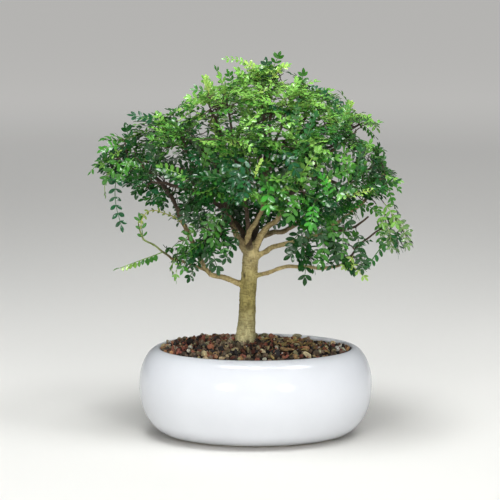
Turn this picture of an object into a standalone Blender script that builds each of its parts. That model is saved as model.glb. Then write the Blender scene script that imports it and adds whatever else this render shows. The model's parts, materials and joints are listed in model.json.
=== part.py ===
"""Japanese pepper bonsai (Zanthoxylum piperitum) in an oval glazed pot.

Units are metres, +Z is up, +X is to the right seen from the front, +Y is to the back.
The pot stands on z = 0. Lengths in the tables below are in millimetres.
"""

import math
import random

import bmesh
import bpy
from mathutils import Matrix, Vector, noise

MM = 0.001
GAP = 0.35  # clearance between touching pieces, mm

# Whole object
PLANT_SHIFT = Vector((4.4, -4.6, 0.0))  # moves pot and plant so that the outer box is centred on the origin, mm

# Pot: an oval bowl with a swollen belly and a shoulder that rolls inwards
POT_LENGTH = 210.0
POT_DEPTH = 160.0
BELLY_Z = 47.7  # height of the widest line
CREST_Z = 80.0  # top of the shoulder
CREST_INSET = 17.0  # from the widest line in to the crest
FOOT_INSET = 35.0  # from the widest line in to where the belly meets the table
BELLY_POWER = 2.2  # how full the curve under the widest line is (2 is an ellipse)
SHOULDER_POWER = 1.83  # the same for the curve above it
LIP_RADIUS = 2.2  # of the roll from the crest to the inside
FOOT_WIDTH = 8.0
FOOT_RECESS = 2.4
WALL = 7.0
FLOOR = 8.0  # top of the floor inside
POT_SIDES = 48
DRAIN_RADIUS = 7.0
DRAIN_X = 19.0  # two drain holes, left and right of the middle

# Drain screens
SCREEN_SIDE = 22.0
SCREEN_THICK = 1.2
SCREEN_CELLS = 4
SCREEN_BAR = 1.8

# Soil
SOIL_MARGIN = 0.35
SOIL_EDGE_INSET = 20.2  # just inside the lip
SOIL_EDGE_Z = 77.0
SOIL_MOUND = 8.5

# Trunk: centre line (x, y, z) and radius. It leans a little to the right going up.
TRUNK = [
    (-11.0, 1.0, 51.0, 8.0),
    (-10.2, 0.5, 71.0, 11.5),
    (-9.4, 0.0, 85.0, 9.2),
    (-8.2, 0.0, 101.0, 7.9),
    (-7.0, 0.0, 127.0, 7.4),
    (-5.4, 0.0, 149.0, 7.1),
    (-4.0, 0.0, 167.0, 7.3),
    (-3.0, 0.0, 176.0, 6.0),
]

# Limbs that leave the trunk or one another. Each starts inside the wood that carries it.
LIMBS = {
    "left_leader": [(-4, 0, 163, 5.2), (-10.8, 1, 175, 4.6), (-20.7, 3, 190, 4.0), (-25, 5, 203, 3.5), (-28, 6, 229, 2.9), (-29, 5, 265, 2.3), (-39, 4, 293, 1.6)],
    "apex_leader": [(-3, 0, 169, 4.6), (-4.6, -1, 183, 4.0), (4.0, -3, 202, 3.6), (9, -5, 235, 3.0), (13, -5, 277, 2.3), (12, -2, 319, 1.4)],
    "front_left_leader": [(-5, -1, 172, 4.0), (-7.2, -4, 192, 3.2), (-12, -20, 227, 2.6), (-20, -32, 265, 2.0), (-24, -34, 301, 1.3)],
    "right_leader": [(-2, 0, 167, 5.0), (2, -1, 176, 4.4), (9, -5, 187, 3.9), (20, -10, 198, 3.4), (33, -22, 225, 2.8), (56, -36, 253, 2.2), (80, -42, 273, 1.4)],
    "back_right_limb": [(-1, 2, 171, 4.2), (6, 8, 179, 3.6), (17, 20, 181, 3.2), (34, 36, 185, 2.8), (62, 50, 205, 2.3), (98, 42, 235, 1.4)],
    "right_limb": [(-3, 0, 159, 3.6), (4, -2, 164.5, 3.0), (14.5, -6, 169.5, 2.7), (24, -10, 175, 2.5), (36, -14, 178, 2.3), (62, -20, 189, 2.0), (96, -24, 215, 1.7), (110, -20, 235, 1.2)],
    "right_low_limb": [(-5, 0, 141, 3.2), (3, -3, 146, 2.5), (13.5, -7, 150, 2.1), (24, -12, 154.4, 2.0), (39, -18, 156, 1.9), (63, -22, 155.5, 1.7), (88, -20, 159, 1.5), (112, -12, 169, 1.2), (124, -8, 179, 0.9)],
    "left_low_limb": [(-7, 0, 135, 3.6), (-15, -3, 138.5, 3.0), (-29, -8, 143.5, 2.7), (-39.5, -12, 149, 2.6), (-46, -14, 154.5, 2.5), (-53, -14, 172, 2.5), (-61, -13, 186, 2.4), (-72.5, -14, 214, 2.2), (-88, -18, 236, 1.9), (-106, -14, 245, 1.4), (-120, -6, 247, 1.0)],
    "left_low_shoot": [(-42, -13, 151, 1.6), (-64, -20, 159, 1.2), (-85, -22, 165.5, 0.9), (-95.5, -20, 176, 0.8), (-100, -18, 187, 0.6)],
    "crown_right_limb": [(10, -5, 239, 2.2), (24, 0, 261, 2.0), (44, 2, 287, 1.6), (60, 2, 302, 1.1)],
    "crown_back_limb": [(9, -4, 229, 2.4), (8, 14, 255, 2.1), (7, 34, 285, 1.7), (6, 50, 303, 1.1)],
    "crown_front_right_limb": [(10, -6, 247, 2.1), (18, -22, 271, 1.7), (28, -40, 297, 1.1)],
    "back_limb": [(-3, 2, 173, 4.0), (0, 12, 185, 3.4), (3, 36, 213, 2.8), (4, 66, 241, 2.2), (4, 84, 269, 1.3)],
    "back_skirt_limb": [(3, 40, 217, 2.2), (1, 74, 227, 1.7), (0, 100, 229, 1.1)],
    "back_left_limb": [(-5, 2, 171, 4.0), (-13, 10, 183, 3.4), (-30, 34, 205, 2.8), (-46, 52, 239, 2.2), (-60, 58, 273, 1.3)],
    "back_left_skirt_limb": [(-32, 36, 209, 2.2), (-46, 62, 223, 1.8), (-54, 86, 233, 1.1)],
    "left_back_limb": [(-38, 42, 223, 2.0), (-66, 46, 235, 1.7), (-98, 46, 241, 1.1)],
    "upper_left_limb": [(-28, 6, 233, 2.4), (-46, 2, 257, 2.1), (-66, -1, 271, 1.7), (-84, -2, 279, 1.1)],
    "upper_right_limb": [(33, -22, 226, 2.2), (56, -8, 251, 2.0), (78, 2, 271, 1.6), (94, 8, 281, 1.1)],
    "upper_right_back_limb": [(8, 4, 241, 2.1), (34, 30, 257, 1.8), (66, 54, 277, 1.1)],
    "front_limb": [(-10, -14, 215, 2.3), (-13, -44, 243, 2.0), (-14, -72, 271, 1.2)],
    "front_middle_limb": [(-12, -30, 230, 1.9), (-10, -60, 236, 1.6), (-8, -88, 235, 1.1)],
    "front_right_limb": [(30, -19, 220, 2.3), (38, -48, 229, 2.0), (40, -88, 227, 1.1)],
    "front_upper_right_limb": [(36, -40, 227, 1.9), (40, -62, 251, 1.6), (38, -76, 265, 1.1)],
    "right_front_limb": [(44, -28, 239, 2.1), (64, -50, 237, 1.7), (84, -68, 229, 1.1)],
    "left_front_limb": [(-24, 3, 201, 2.6), (-40, -26, 217, 2.2), (-66, -44, 231, 1.8), (-90, -48, 235, 1.1)],
    "front_left_limb": [(-40, -26, 218, 1.9), (-46, -50, 227, 1.6), (-52, -76, 233, 1.1)],
    "upper_left_front_limb": [(-42, -29, 219, 1.9), (-54, -42, 245, 1.6), (-62, -50, 271, 1.1)],
    "left_inner_twig": [(-22, 3, 193, 1.9), (-32, -10, 193, 1.5), (-40, -24, 189, 1.0)],
}

# Main roots, hidden in the soil
ROOTS = {
    "root_left": [(-11, 1, 69, 6.0), (-26, 4, 63, 4.2), (-46, 6, 51, 2.6), (-58, 6, 37, 1.4)],
    "root_right": [(-9, 0, 69, 6.0), (8, -4, 62, 4.2), (28, -8, 49, 2.6), (40, -10, 35, 1.4)],
    "root_front": [(-11, -1, 67, 5.6), (-16, -16, 59, 3.8), (-20, -32, 45, 2.0), (-20, -38, 33, 1.2)],
    "root_back": [(-10, 1, 67, 5.6), (-4, 16, 59, 3.8), (4, 32, 45, 2.0), (6, 38, 33, 1.2)],
    "root_down": [(-11, 1, 57, 6.4), (-9, 2, 37, 4.2), (-12, 4, 19, 2.0)],
}
LIMB_SIDES = 7
TRUNK_SIDES = 14

# Leaf sprays: centre x, y, z and half sizes along x, y, z
SPRAYS = {
    "crown_apex": (12, -2, 322, 33, 34, 15),
    "crown_front_left": (-24, -34, 307, 31, 30, 15),
    "crown_front_right": (28, -42, 301, 34, 30, 16),
    "crown_left": (-41, 10, 295, 28, 34, 14),
    "crown_right": (53, 2, 301, 31, 34, 14),
    "crown_back": (6, 50, 305, 42, 30, 16),
    "upper_left": (-83, -2, 277, 31, 36, 15),
    "upper_left_front": (-62, -50, 273, 32, 30, 16),
    "upper_front": (-14, -74, 273, 34, 28, 18),
    "upper_front_right": (38, -76, 267, 34, 28, 18),
    "upper_right_front": (80, -42, 275, 31, 34, 17),
    "upper_right": (89, 8, 282, 25, 32, 13),
    "upper_right_back": (68, 56, 279, 34, 32, 17),
    "upper_back": (4, 86, 273, 38, 28, 19),
    "upper_left_back": (-60, 56, 277, 36, 32, 17),
    "inner_left": (-34, 4, 257, 34, 38, 20),
    "inner_right": (40, 6, 261, 34, 38, 20),
    "left_far": (-118, -4, 245, 26, 32, 20),
    "left_front": (-90, -48, 235, 28, 30, 20),
    "front_left": (-52, -78, 233, 30, 26, 22),
    "front_middle": (-8, -92, 236, 28, 24, 20),
    "front_right": (40, -92, 226, 32, 24, 24),
    "right_front": (84, -70, 229, 28, 28, 26),
    "right_far": (105, -20, 236, 25, 34, 24),
    "right_back": (102, 40, 239, 28, 32, 24),
    "back_right": (56, 88, 231, 34, 26, 24),
    "back_middle": (0, 102, 229, 34, 24, 24),
    "back_left": (-54, 88, 233, 34, 26, 24),
    "left_back": (-100, 46, 241, 30, 32, 20),
    "inner_low": (0, 40, 221, 34, 32, 20),
    "low_left_outer": (-63, -12, 169, 20, 26, 22),
    "low_left_inner": (-36, -26, 190, 21, 26, 21),
    "low_right_inner": (50, -34, 173, 22, 26, 21),
    "low_right": (88, -22, 171, 21, 26, 23),
    "low_right_far": (124, -8, 182, 15, 23, 20),
    "low_back_right": (60, 58, 185, 32, 28, 20),
    "low_back_left": (-48, 60, 191, 32, 28, 20),
}
SPRAY_GAP = 0.6
SPRAY_LUMPS = 0.13

# Single leaves that stand clear of the sprays: base, tip, length of droop at the middle, roll in degrees
LEAVES = {
    "leaf_left_hanging": ((-125, -24, 225), (-119, -28, 190), -2.0, 15),
    "leaf_left_hanging_inner": ((-106, -52, 214), (-103, -56, 184), -2.0, 20),
    "leaf_left_tip": ((-144.5, -12, 246), (-151, -14, 234), 3.0, 70),
    "leaf_left_shoot_long": ((-86, -26, 163), (-126, -34, 150), 2.0, 75),
    "leaf_left_shoot_end": ((-100, -20, 190), (-109, -30, 196), 1.0, 40),
    "leaf_top_tip": ((20, -6, 337.5), (26, -8, 345), 1.0, 30),
    "leaf_crown_left_tip": ((-12, -20, 326), (-34, -24, 334), 3.0, 60),
    "leaf_right_tip": ((131, -22, 232), (140, -26, 221), 2.0, 60),
    "leaf_low_right_inner": ((46, -46, 152), (44, -50, 134), 1.0, 20),
    "leaf_low_right": ((100, -34, 151), (101, -40, 136), 1.0, 20),
    "leaf_low_left": ((-62, -28, 147), (-64, -32, 133), 1.0, 20),
}
LEAF_THICK = 0.8

# Stones lying on the soil: centre x, y, half sizes x, y, z
STONES = {
    "tan_stone": (38, 26, 6.0, 4.5, 4.0),
    "green_stone": (7.5, 20, 4.5, 4.0, 3.2),
    "bark_chip": (28, -38, 7.0, 2.2, 1.8),
}


# ---------------------------------------------------------------- helpers

def clear_scene():
    for obj in list(bpy.data.objects):
        bpy.data.objects.remove(obj)


def material(name, colour, roughness, metallic=0.0):
    mat = bpy.data.materials.new(name)
    mat.use_nodes = True
    shader = mat.node_tree.nodes["Principled BSDF"]
    shader.inputs["Base Color"].default_value = (*colour, 1.0)
    shader.inputs["Roughness"].default_value = roughness
    shader.inputs["Metallic"].default_value = metallic
    return mat


def new_object(name, bm, mat, smooth=True):
    bmesh.ops.recalc_face_normals(bm, faces=bm.faces)
    if bm.calc_volume(signed=True) < 0:
        bmesh.ops.reverse_faces(bm, faces=bm.faces)
    for vert in bm.verts:
        vert.co = (vert.co + PLANT_SHIFT) * MM
    mesh = bpy.data.meshes.new(name)
    bm.to_mesh(mesh)
    bm.free()
    if smooth:
        mesh.shade_smooth()
        mesh.set_sharp_from_angle(angle=math.radians(40))
    obj = bpy.data.objects.new(name, mesh)
    bpy.context.scene.collection.objects.link(obj)
    if mat:
        obj.data.materials.append(mat)
    return obj


def as_cutter(obj):
    obj.hide_render = True
    obj.display_type = "WIRE"
    return obj


def boolean(obj, other, operation, name):
    modifier = obj.modifiers.new(name, "BOOLEAN")
    modifier.operation = operation
    modifier.solver = "EXACT"
    if isinstance(other, bpy.types.Collection):
        modifier.operand_type = "COLLECTION"
        modifier.collection = other
    else:
        modifier.object = other
    return modifier


def skin_rings(bm, rings, cap_start=True, cap_end=True):
    """Joins rings of vertices with quads, and closes the ends with one face each."""
    for lower, upper in zip(rings, rings[1:]):
        count = len(lower)
        for i in range(count):
            bm.faces.new((lower[i], lower[(i + 1) % count], upper[(i + 1) % count], upper[i]))
    if cap_start:
        bm.faces.new(list(reversed(rings[0])))
    if cap_end:
        bm.faces.new(rings[-1])


# ---------------------------------------------------------------- pot

def oval_ring(bm, inset, z, sides=POT_SIDES):
    """A ring of the pot's oval, moved in by inset from the widest line."""
    a, b = POT_LENGTH / 2 - inset, POT_DEPTH / 2 - inset
    return [
        bm.verts.new((a * math.cos(2 * math.pi * i / sides), b * math.sin(2 * math.pi * i / sides), z))
        for i in range(sides)
    ]


def belly_inset(z, depth, inset):
    """Inset of a full curve at height z: 0 at the widest line, inset at a depth below it."""
    t = min(1.0, (BELLY_Z - z) / depth)
    return inset * (1 - (1 - t ** BELLY_POWER) ** (1 / BELLY_POWER))


def shoulder_inset(z, inset):
    t = min(1.0, (z - BELLY_Z) / (CREST_Z - BELLY_Z))
    return inset * (1 - (1 - t ** SHOULDER_POWER) ** (1 / SHOULDER_POWER))


def outer_profile():
    """(inset, z) from the foot up over the belly to the crest."""
    points = []
    for k in range(1, 9):
        z = BELLY_Z * (1 - math.cos(math.pi / 2 * k / 8))
        points.append((belly_inset(z, BELLY_Z, FOOT_INSET), z))
    for k in range(1, 9):
        z = BELLY_Z + (CREST_Z - BELLY_Z) * math.sin(math.pi / 2 * k / 8)
        points.append((shoulder_inset(z, CREST_INSET), z))
    return points


def inner_inset(z):
    """Inset of the cavity wall at height z, from the widest line: the outer curve moved in by the wall."""
    if z < BELLY_Z:
        return WALL + belly_inset(z, BELLY_Z - FLOOR, FOOT_INSET)
    return WALL + shoulder_inset(BELLY_Z + 0.92 * (z - BELLY_Z), CREST_INSET)


def build_pot():
    bm = bmesh.new()
    rings = [
        oval_ring(bm, FOOT_INSET + FOOT_WIDTH + 1.5, FOOT_RECESS),
        oval_ring(bm, FOOT_INSET + FOOT_WIDTH, 0.0),
        oval_ring(bm, FOOT_INSET, 0.0),
    ]
    for inset, z in outer_profile():
        rings.append(oval_ring(bm, inset, z))
    # the lip rolls inwards from the crest, and the cavity widens again under it
    for k in range(1, 6):
        angle = math.pi * k / 5
        rings.append(oval_ring(bm, CREST_INSET + LIP_RADIUS * math.sin(angle), CREST_Z - LIP_RADIUS * (1 - math.cos(angle))))
    for z in (66.0, 57.0, 47.7, 34.0, 22.0, 14.0, 10.0, FLOOR):
        rings.append(oval_ring(bm, inner_inset(z), z))
    skin_rings(bm, rings)
    pot = new_object("pot", bm, material("white_glaze", (0.86, 0.87, 0.90), 0.12))
    for side, x in (("left", -DRAIN_X), ("right", DRAIN_X)):
        bm = bmesh.new()
        bmesh.ops.create_cone(
            bm, cap_ends=True, segments=20, radius1=DRAIN_RADIUS, radius2=DRAIN_RADIUS, depth=FLOOR + 8,
            matrix=Matrix.Translation((x, 0, FLOOR / 2)),
        )
        boolean(pot, as_cutter(new_object(f"drain_cutter_{side}", bm, None)), "DIFFERENCE", f"drain_{side}")
    return pot


def build_screen(side, x):
    """A square plastic mesh that keeps the soil from falling through a drain hole."""
    bm = bmesh.new()
    low, high = FLOOR + GAP, FLOOR + GAP + SCREEN_THICK
    edges = [-SCREEN_SIDE / 2]
    cell = (SCREEN_SIDE - SCREEN_BAR * (SCREEN_CELLS + 1)) / SCREEN_CELLS
    for k in range(SCREEN_CELLS):
        edges.append(edges[-1] + SCREEN_BAR)
        edges.append(edges[-1] + cell)
    edges.append(edges[-1] + SCREEN_BAR)
    n = len(edges)
    top = [[bm.verts.new((x + u, v, high)) for v in edges] for u in edges]
    bottom = [[bm.verts.new((x + u, v, low)) for v in edges] for u in edges]

    def solid(i, j):
        return 0 <= i < n - 1 and 0 <= j < n - 1 and not (i % 2 == 1 and j % 2 == 1)

    for i in range(n - 1):
        for j in range(n - 1):
            if not solid(i, j):
                continue
            bm.faces.new((top[i][j], top[i + 1][j], top[i + 1][j + 1], top[i][j + 1]))
            bm.faces.new((bottom[i][j], bottom[i][j + 1], bottom[i + 1][j + 1], bottom[i + 1][j]))
            for di, dj, (a, b) in (
                (-1, 0, ((i, j), (i, j + 1))),
                (1, 0, ((i + 1, j), (i + 1, j + 1))),
                (0, -1, ((i, j), (i + 1, j))),
                (0, 1, ((i, j + 1), (i + 1, j + 1))),
            ):
                if not solid(i + di, j + dj):
                    bm.faces.new((top[a[0]][a[1]], top[b[0]][b[1]], bottom[b[0]][b[1]], bottom[a[0]][a[1]]))
    for vert in [v for v in bm.verts if not v.link_faces]:
        bm.verts.remove(vert)
    return new_object(f"drain_screen_{side}", bm, material(f"screen_plastic_{side}", (0.03, 0.035, 0.03), 0.6), smooth=False)


# ---------------------------------------------------------------- soil

def soil_height(x, y):
    """Height of the soil surface: a mound round the trunk, higher at the left and back."""
    a = POT_LENGTH / 2 - CREST_INSET
    b = POT_DEPTH / 2 - CREST_INSET
    r = min(1.0, math.hypot(x / a, y / b))
    z = SOIL_EDGE_Z + SOIL_MOUND * (1 - r * r) ** 0.9
    z += 1.6 * (1 - r) * noise.noise(Vector((x * 0.05, y * 0.05, 3.1)))
    z += 3.4 * math.exp(-(((x + 52) / 28) ** 2 + ((y - 26) / 20) ** 2))
    z -= 2.4 * math.exp(-(((x - 62) / 26) ** 2 + ((y - 26) / 22) ** 2))
    return z


def build_soil(tree_clearance):
    bm = bmesh.new()
    sides = 32
    margin = SOIL_MARGIN + 0.45  # the soil has fewer sides than the wall, so its corners stay further in
    rings = [oval_ring(bm, inner_inset(max(z - GAP, FLOOR)) + margin, z, sides) for z in (FLOOR + GAP, 14.0, 22.0, 34.0, 47.7, 57.0, 65.0)]
    rings.append(oval_ring(bm, CREST_INSET + 1.6, CREST_Z - 2 * LIP_RADIUS - 0.9, sides))
    rings.append(oval_ring(bm, SOIL_EDGE_INSET, CREST_Z - LIP_RADIUS - 2.2, sides))
    a, b = POT_LENGTH / 2 - SOIL_EDGE_INSET, POT_DEPTH / 2 - SOIL_EDGE_INSET
    for share in (0.995, 0.86, 0.70, 0.52, 0.34, 0.17):
        ring = []
        for i in range(sides):
            angle = 2 * math.pi * i / sides
            x, y = a * share * math.cos(angle), b * share * math.sin(angle)
            ring.append(bm.verts.new((x, y, soil_height(x, y))))
        rings.append(ring)
    skin_rings(bm, rings, cap_end=False)
    centre = bm.verts.new((0, 0, soil_height(0, 0)))
    last = rings[-1]
    for i in range(sides):
        bm.faces.new((last[i], last[(i + 1) % sides], centre))
    soil = new_object("soil", bm, material("soil_mix", (0.10, 0.045, 0.035), 0.95))
    for side, x in (("left", -DRAIN_X), ("right", DRAIN_X)):
        bm = bmesh.new()
        bmesh.ops.create_cube(bm, size=1.0)
        half = SCREEN_SIDE + 2 * GAP
        for vert in bm.verts:
            vert.co = Vector((vert.co.x * half + x, vert.co.y * half, vert.co.z * 2 * (SCREEN_THICK + 2 * GAP) + FLOOR))
        boolean(soil, as_cutter(new_object(f"screen_cutter_{side}", bm, None, smooth=False)), "DIFFERENCE", f"screen_{side}")
    boolean(soil, tree_clearance, "DIFFERENCE", "tree")
    return soil


def build_stone(name, x, y, rx, ry, rz, mat):
    """A lumpy grain that lies in a shallow hollow of its own size above the soil."""
    bm = bmesh.new()
    bmesh.ops.create_icosphere(bm, subdivisions=2, radius=1.0)
    seed = sum(ord(c) for c in name)
    highest = max(soil_height(x + dx, y + dy) for dx in (-rx, 0, rx) for dy in (-ry, 0, ry))
    for vert in bm.verts:
        lump = 1 + 0.16 * noise.noise(vert.co * 1.7 + Vector((seed, 0, 0)))
        vert.co = Vector((vert.co.x * rx * lump + x, vert.co.y * ry * lump + y, vert.co.z * rz * lump))
    lowest = min(vert.co.z for vert in bm.verts)
    for vert in bm.verts:
        vert.co.z += highest + GAP - lowest
    return new_object(name, bm, mat)


# ---------------------------------------------------------------- wood

def smooth_path(points, steps=2):
    """Catmull-Rom points through the table's points, with the radius along."""
    rows = [Vector(p) for p in points]
    out = []
    for i in range(len(rows) - 1):
        p0 = rows[max(i - 1, 0)]
        p1, p2 = rows[i], rows[i + 1]
        p3 = rows[min(i + 2, len(rows) - 1)]
        for k in range(steps):
            t = k / steps
            out.append(
                0.5 * ((2 * p1) + (p2 - p0) * t + (2 * p0 - 5 * p1 + 4 * p2 - p3) * t * t + (3 * p1 - p0 - 3 * p2 + p3) * t ** 3)
            )
    out.append(rows[-1])
    return out


def tube(bm, points, sides, grow=0.0, steps=1, lumps=0.0):
    """A tapering tube along points (x, y, z, radius), grown by grow all round and at its ends."""
    path = smooth_path([Vector(p).to_4d() if len(p) == 3 else Vector(p) for p in points], steps) if steps > 1 else [Vector(p) for p in points]
    centres = [Vector(p[:3]) for p in path]
    radii = [p[3] + grow for p in path]
    if grow:
        centres[0] -= (centres[1] - centres[0]).normalized() * grow
        centres[-1] += (centres[-1] - centres[-2]).normalized() * grow
    side = (centres[1] - centres[0]).orthogonal().normalized()
    rings = []
    for i, centre in enumerate(centres):
        along = (centres[min(i + 1, len(centres) - 1)] - centres[max(i - 1, 0)]).normalized()
        side = (side - along * side.dot(along)).normalized()
        other = along.cross(side)
        ring = []
        for k in range(sides):
            angle = 2 * math.pi * k / sides
            radius = radii[i]
            if lumps:
                radius *= 1 + lumps * noise.noise(Vector((3 * math.cos(angle), 3 * math.sin(angle), centre.z * 0.05)))
            ring.append(bm.verts.new(centre + (side * math.cos(angle) + other * math.sin(angle)) * radius))
        rings.append(ring)
    skin_rings(bm, rings)


def build_tree(mat):
    """Trunk, limbs and main roots joined into one solid. Also returns the cutters that clear it."""
    pieces = bpy.data.collections.new("limbs_to_join")
    clearance = bpy.data.collections.new("wood_clearance")
    for group in (pieces, clearance):
        bpy.context.scene.collection.children.link(group)
    cutters = {}

    def move(obj, group):
        bpy.context.scene.collection.objects.unlink(obj)
        group.objects.link(obj)
        return as_cutter(obj)

    bm = bmesh.new()
    tube(bm, TRUNK, TRUNK_SIDES, lumps=0.06, steps=2)
    tree = new_object("trunk_and_branches", bm, mat)
    bm = bmesh.new()
    tube(bm, TRUNK, TRUNK_SIDES, grow=GAP + 0.15, lumps=0.06, steps=2)
    cutters["trunk"] = move(new_object("clear_trunk", bm, None), clearance)
    for name, points in {**LIMBS, **ROOTS}.items():
        bm = bmesh.new()
        tube(bm, points, LIMB_SIDES)
        move(new_object(f"wood_{name}", bm, None), pieces)
        bm = bmesh.new()
        tube(bm, points, LIMB_SIDES, grow=GAP + 0.1)
        cutters[name] = move(new_object(f"clear_{name}", bm, None), clearance)
    boolean(tree, pieces, "UNION", "join_limbs")
    return tree, cutters


# ---------------------------------------------------------------- leaves

def reach(radii, direction):
    return 1 / math.sqrt(sum((d / r) ** 2 for d, r in zip(direction, radii)))


def spray_planes(name):
    """Planes that part this spray from its neighbours: unit normal and distance from its centre."""
    cx, cy, cz, *radii = SPRAYS[name]
    centre = Vector((cx, cy, cz))
    planes = []
    for other, (ox, oy, oz, *other_radii) in SPRAYS.items():
        if other == name:
            continue
        line = Vector((ox, oy, oz)) - centre
        if line.length > 1.2 * (max(radii) + max(other_radii)):
            continue
        own, theirs = reach(radii, line.normalized()), reach(other_radii, line.normalized())
        normal = Vector(
            tuple(2 * line[k] / (radii[k] ** 2 + other_radii[k] ** 2) for k in range(3))
        ).normalized()
        meet = line * (own / (own + theirs))
        planes.append((normal, normal.dot(meet) - SPRAY_GAP / 2))
    return planes


def build_spray(name, mat, cutters):
    """A closed cloud that fills the room of one branch's leaves. It is parted from its neighbours and from the wood."""
    cx, cy, cz, *radii = SPRAYS[name]
    centre = Vector((cx, cy, cz))
    planes = spray_planes(name)
    seed = Vector((sum(ord(c) for c in name) * 0.37, 1.3, 2.1))
    bm = bmesh.new()
    bmesh.ops.create_uvsphere(bm, u_segments=13, v_segments=8, radius=1.0)
    for vert in bm.verts:
        direction = vert.co.normalized()
        length = reach(radii, direction)
        length *= 1 + SPRAY_LUMPS * noise.noise(direction * 2.3 + seed) * 1.6
        for normal, distance in planes:
            slope = normal.dot(direction)
            if slope > 1e-6:
                length = min(length, distance / slope)
        vert.co = centre + direction * length
    low = Vector(tuple(min(v.co[k] for v in bm.verts) for k in range(3)))
    high = Vector(tuple(max(v.co[k] for v in bm.verts) for k in range(3)))
    spray = new_object(f"leaves_{name}", bm, mat)
    for limb, points in {"trunk": TRUNK, **LIMBS}.items():
        inside = False
        dense = smooth_path([Vector(p) for p in points], 6)
        for p in dense:
            pad = p[3] + 1.5
            if all(low[k] - pad < p[k] < high[k] + pad for k in range(3)):
                inside = True
        if inside:
            boolean(spray, cutters[limb], "DIFFERENCE", f"clear_{limb}")
    return spray


def build_leaf(name, base, tip, droop, roll, mat):
    """One feather-shaped leaf: a midrib with pairs of small leaflets and one at the end, as a thin closed plate."""
    base, tip = Vector(base), Vector(tip)
    length = (tip - base).length
    pairs = max(2, round(length / 6.5))
    spacing = 0.62 * length / (pairs - 1)
    room = min(spacing - 1.2, 0.88 * length - 0.76 * length - 0.4) / 0.6  # keeps neighbouring leaflets apart
    stations = [0.0]
    lobes = []
    for i in range(pairs):
        s = length * 0.14 + spacing * i
        size = min(room, 3.2 + 3.4 * math.sin(math.pi * (0.25 + 0.6 * i / pairs)))
        stations.extend([s - 0.5, s + 0.5])
        lobes.append((s, size))
    stations.append(length * 0.89)
    bm = bmesh.new()
    layers = []
    for t in (0.0, LEAF_THICK):
        rib = {side: [bm.verts.new((s, 0.5 * side, t)) for s in stations] for side in (-1, 1)}
        leaflets = {}
        for side in (-1, 1):
            for k, (s, size) in enumerate(lobes):
                leaflets[side, k] = [
                    bm.verts.new((s + a * size, side * (0.5 + b * size), t))
                    for a, b in ((-0.05, 0.6), (0.35, 1.15), (0.55, 0.6))
                ]
        end = [bm.verts.new((a * length + c, b, t)) for a, c, b in ((0.96, 0, -1.9), (1.0, 1.0, 0.0), (0.96, 0, 1.9))]
        layers.append((rib, leaflets, end))
    for rib, leaflets, end in layers:
        for i in range(len(stations) - 1):
            bm.faces.new((rib[-1][i], rib[-1][i + 1], rib[1][i + 1], rib[1][i]))
        for (side, k), (p, q, r) in leaflets.items():
            a, b = rib[side][2 * k + 1], rib[side][2 * k + 2]
            for face in ((a, p, r), (p, q, r), (a, r, b)):
                bm.faces.new(face)
        bm.faces.new((rib[-1][-1], end[0], end[2], rib[1][-1]))
        bm.faces.new((end[0], end[1], end[2]))

    def outline(layer):
        rib, leaflets, end = layer
        out = []
        for side in (-1, 1):
            row = [rib[side][0]]
            for k in range(pairs):
                row.append(rib[side][2 * k + 1])
                row.extend(leaflets[side, k])
                row.append(rib[side][2 * k + 2])
            row.append(rib[side][-1])
            out += row + end if side < 0 else row[::-1]
        return out

    low, high = outline(layers[0]), outline(layers[1])
    for i in range(len(low)):
        j = (i + 1) % len(low)
        bm.faces.new((low[i], low[j], high[j], high[i]))
    along = (tip - base).normalized()
    side = along.cross(Vector((0, 0, 1)))
    side = side.normalized() if side.length > 0.05 else Vector((1, 0, 0))
    turn = Matrix.Rotation(math.radians(roll), 3, along)
    side = turn @ side
    up = side.cross(along)
    for vert in bm.verts:
        s, b, t = vert.co
        bow = 4 * droop * (s / length) * (1 - s / length)
        vert.co = base + along * s + side * b + up * (t + bow - 0.06 * b * b * 0.5)
    return new_object(name, bm, mat, smooth=False)


# ---------------------------------------------------------------- the whole object

def main():
    clear_scene()
    random.seed(7)
    bark = material("bark", (0.36, 0.29, 0.19), 0.8)
    leaf_green = [
        material("leaf_mid_green", (0.045, 0.16, 0.03), 0.38),
        material("leaf_deep_green", (0.02, 0.09, 0.022), 0.35),
        material("leaf_young_green", (0.13, 0.32, 0.04), 0.42),
    ]
    build_pot()
    for side, x in (("left", -DRAIN_X), ("right", DRAIN_X)):
        build_screen(side, x)
    _, cutters = build_tree(bark)
    under = bpy.data.collections.new("wood_in_soil")
    bpy.context.scene.collection.children.link(under)
    for name in ["trunk", *ROOTS]:
        under.objects.link(cutters[name])
    build_soil(under)
    stone_materials = {
        "tan_stone": material("tan_pumice", (0.55, 0.42, 0.27), 0.9),
        "green_stone": material("green_stone", (0.30, 0.29, 0.17), 0.9),
        "bark_chip": material("bark_chip", (0.45, 0.30, 0.14), 0.85),
    }
    for name, (x, y, rx, ry, rz) in STONES.items():
        build_stone(name, x, y, rx, ry, rz, stone_materials[name])
    for name in SPRAYS:
        if name.startswith(("crown", "left_far")):
            mat = leaf_green[2]
        elif name.startswith(("inner", "low_back", "back")):
            mat = leaf_green[1]
        else:
            mat = leaf_green[0]
        build_spray(name, mat, cutters)
    for name, (base, tip, droop, roll) in LEAVES.items():
        build_leaf(name, base, tip, droop, roll, leaf_green[0])


main()
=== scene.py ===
"""Looks of a japanese pepper bonsai in an oval white pot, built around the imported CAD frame.

Everything is in metres in the frame of the CAD. The tables below are in millimetres from the
pot's own centre, as the CAD's tables are, and PLANT_SHIFT moves them into the row's frame.
"""

import json
import math
import random

import bmesh
import bpy
import numpy as np
from mathutils import Euler, Matrix, Quaternion, Vector, noise
from mathutils.bvhtree import BVHTree
from mathutils.kdtree import KDTree


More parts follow.
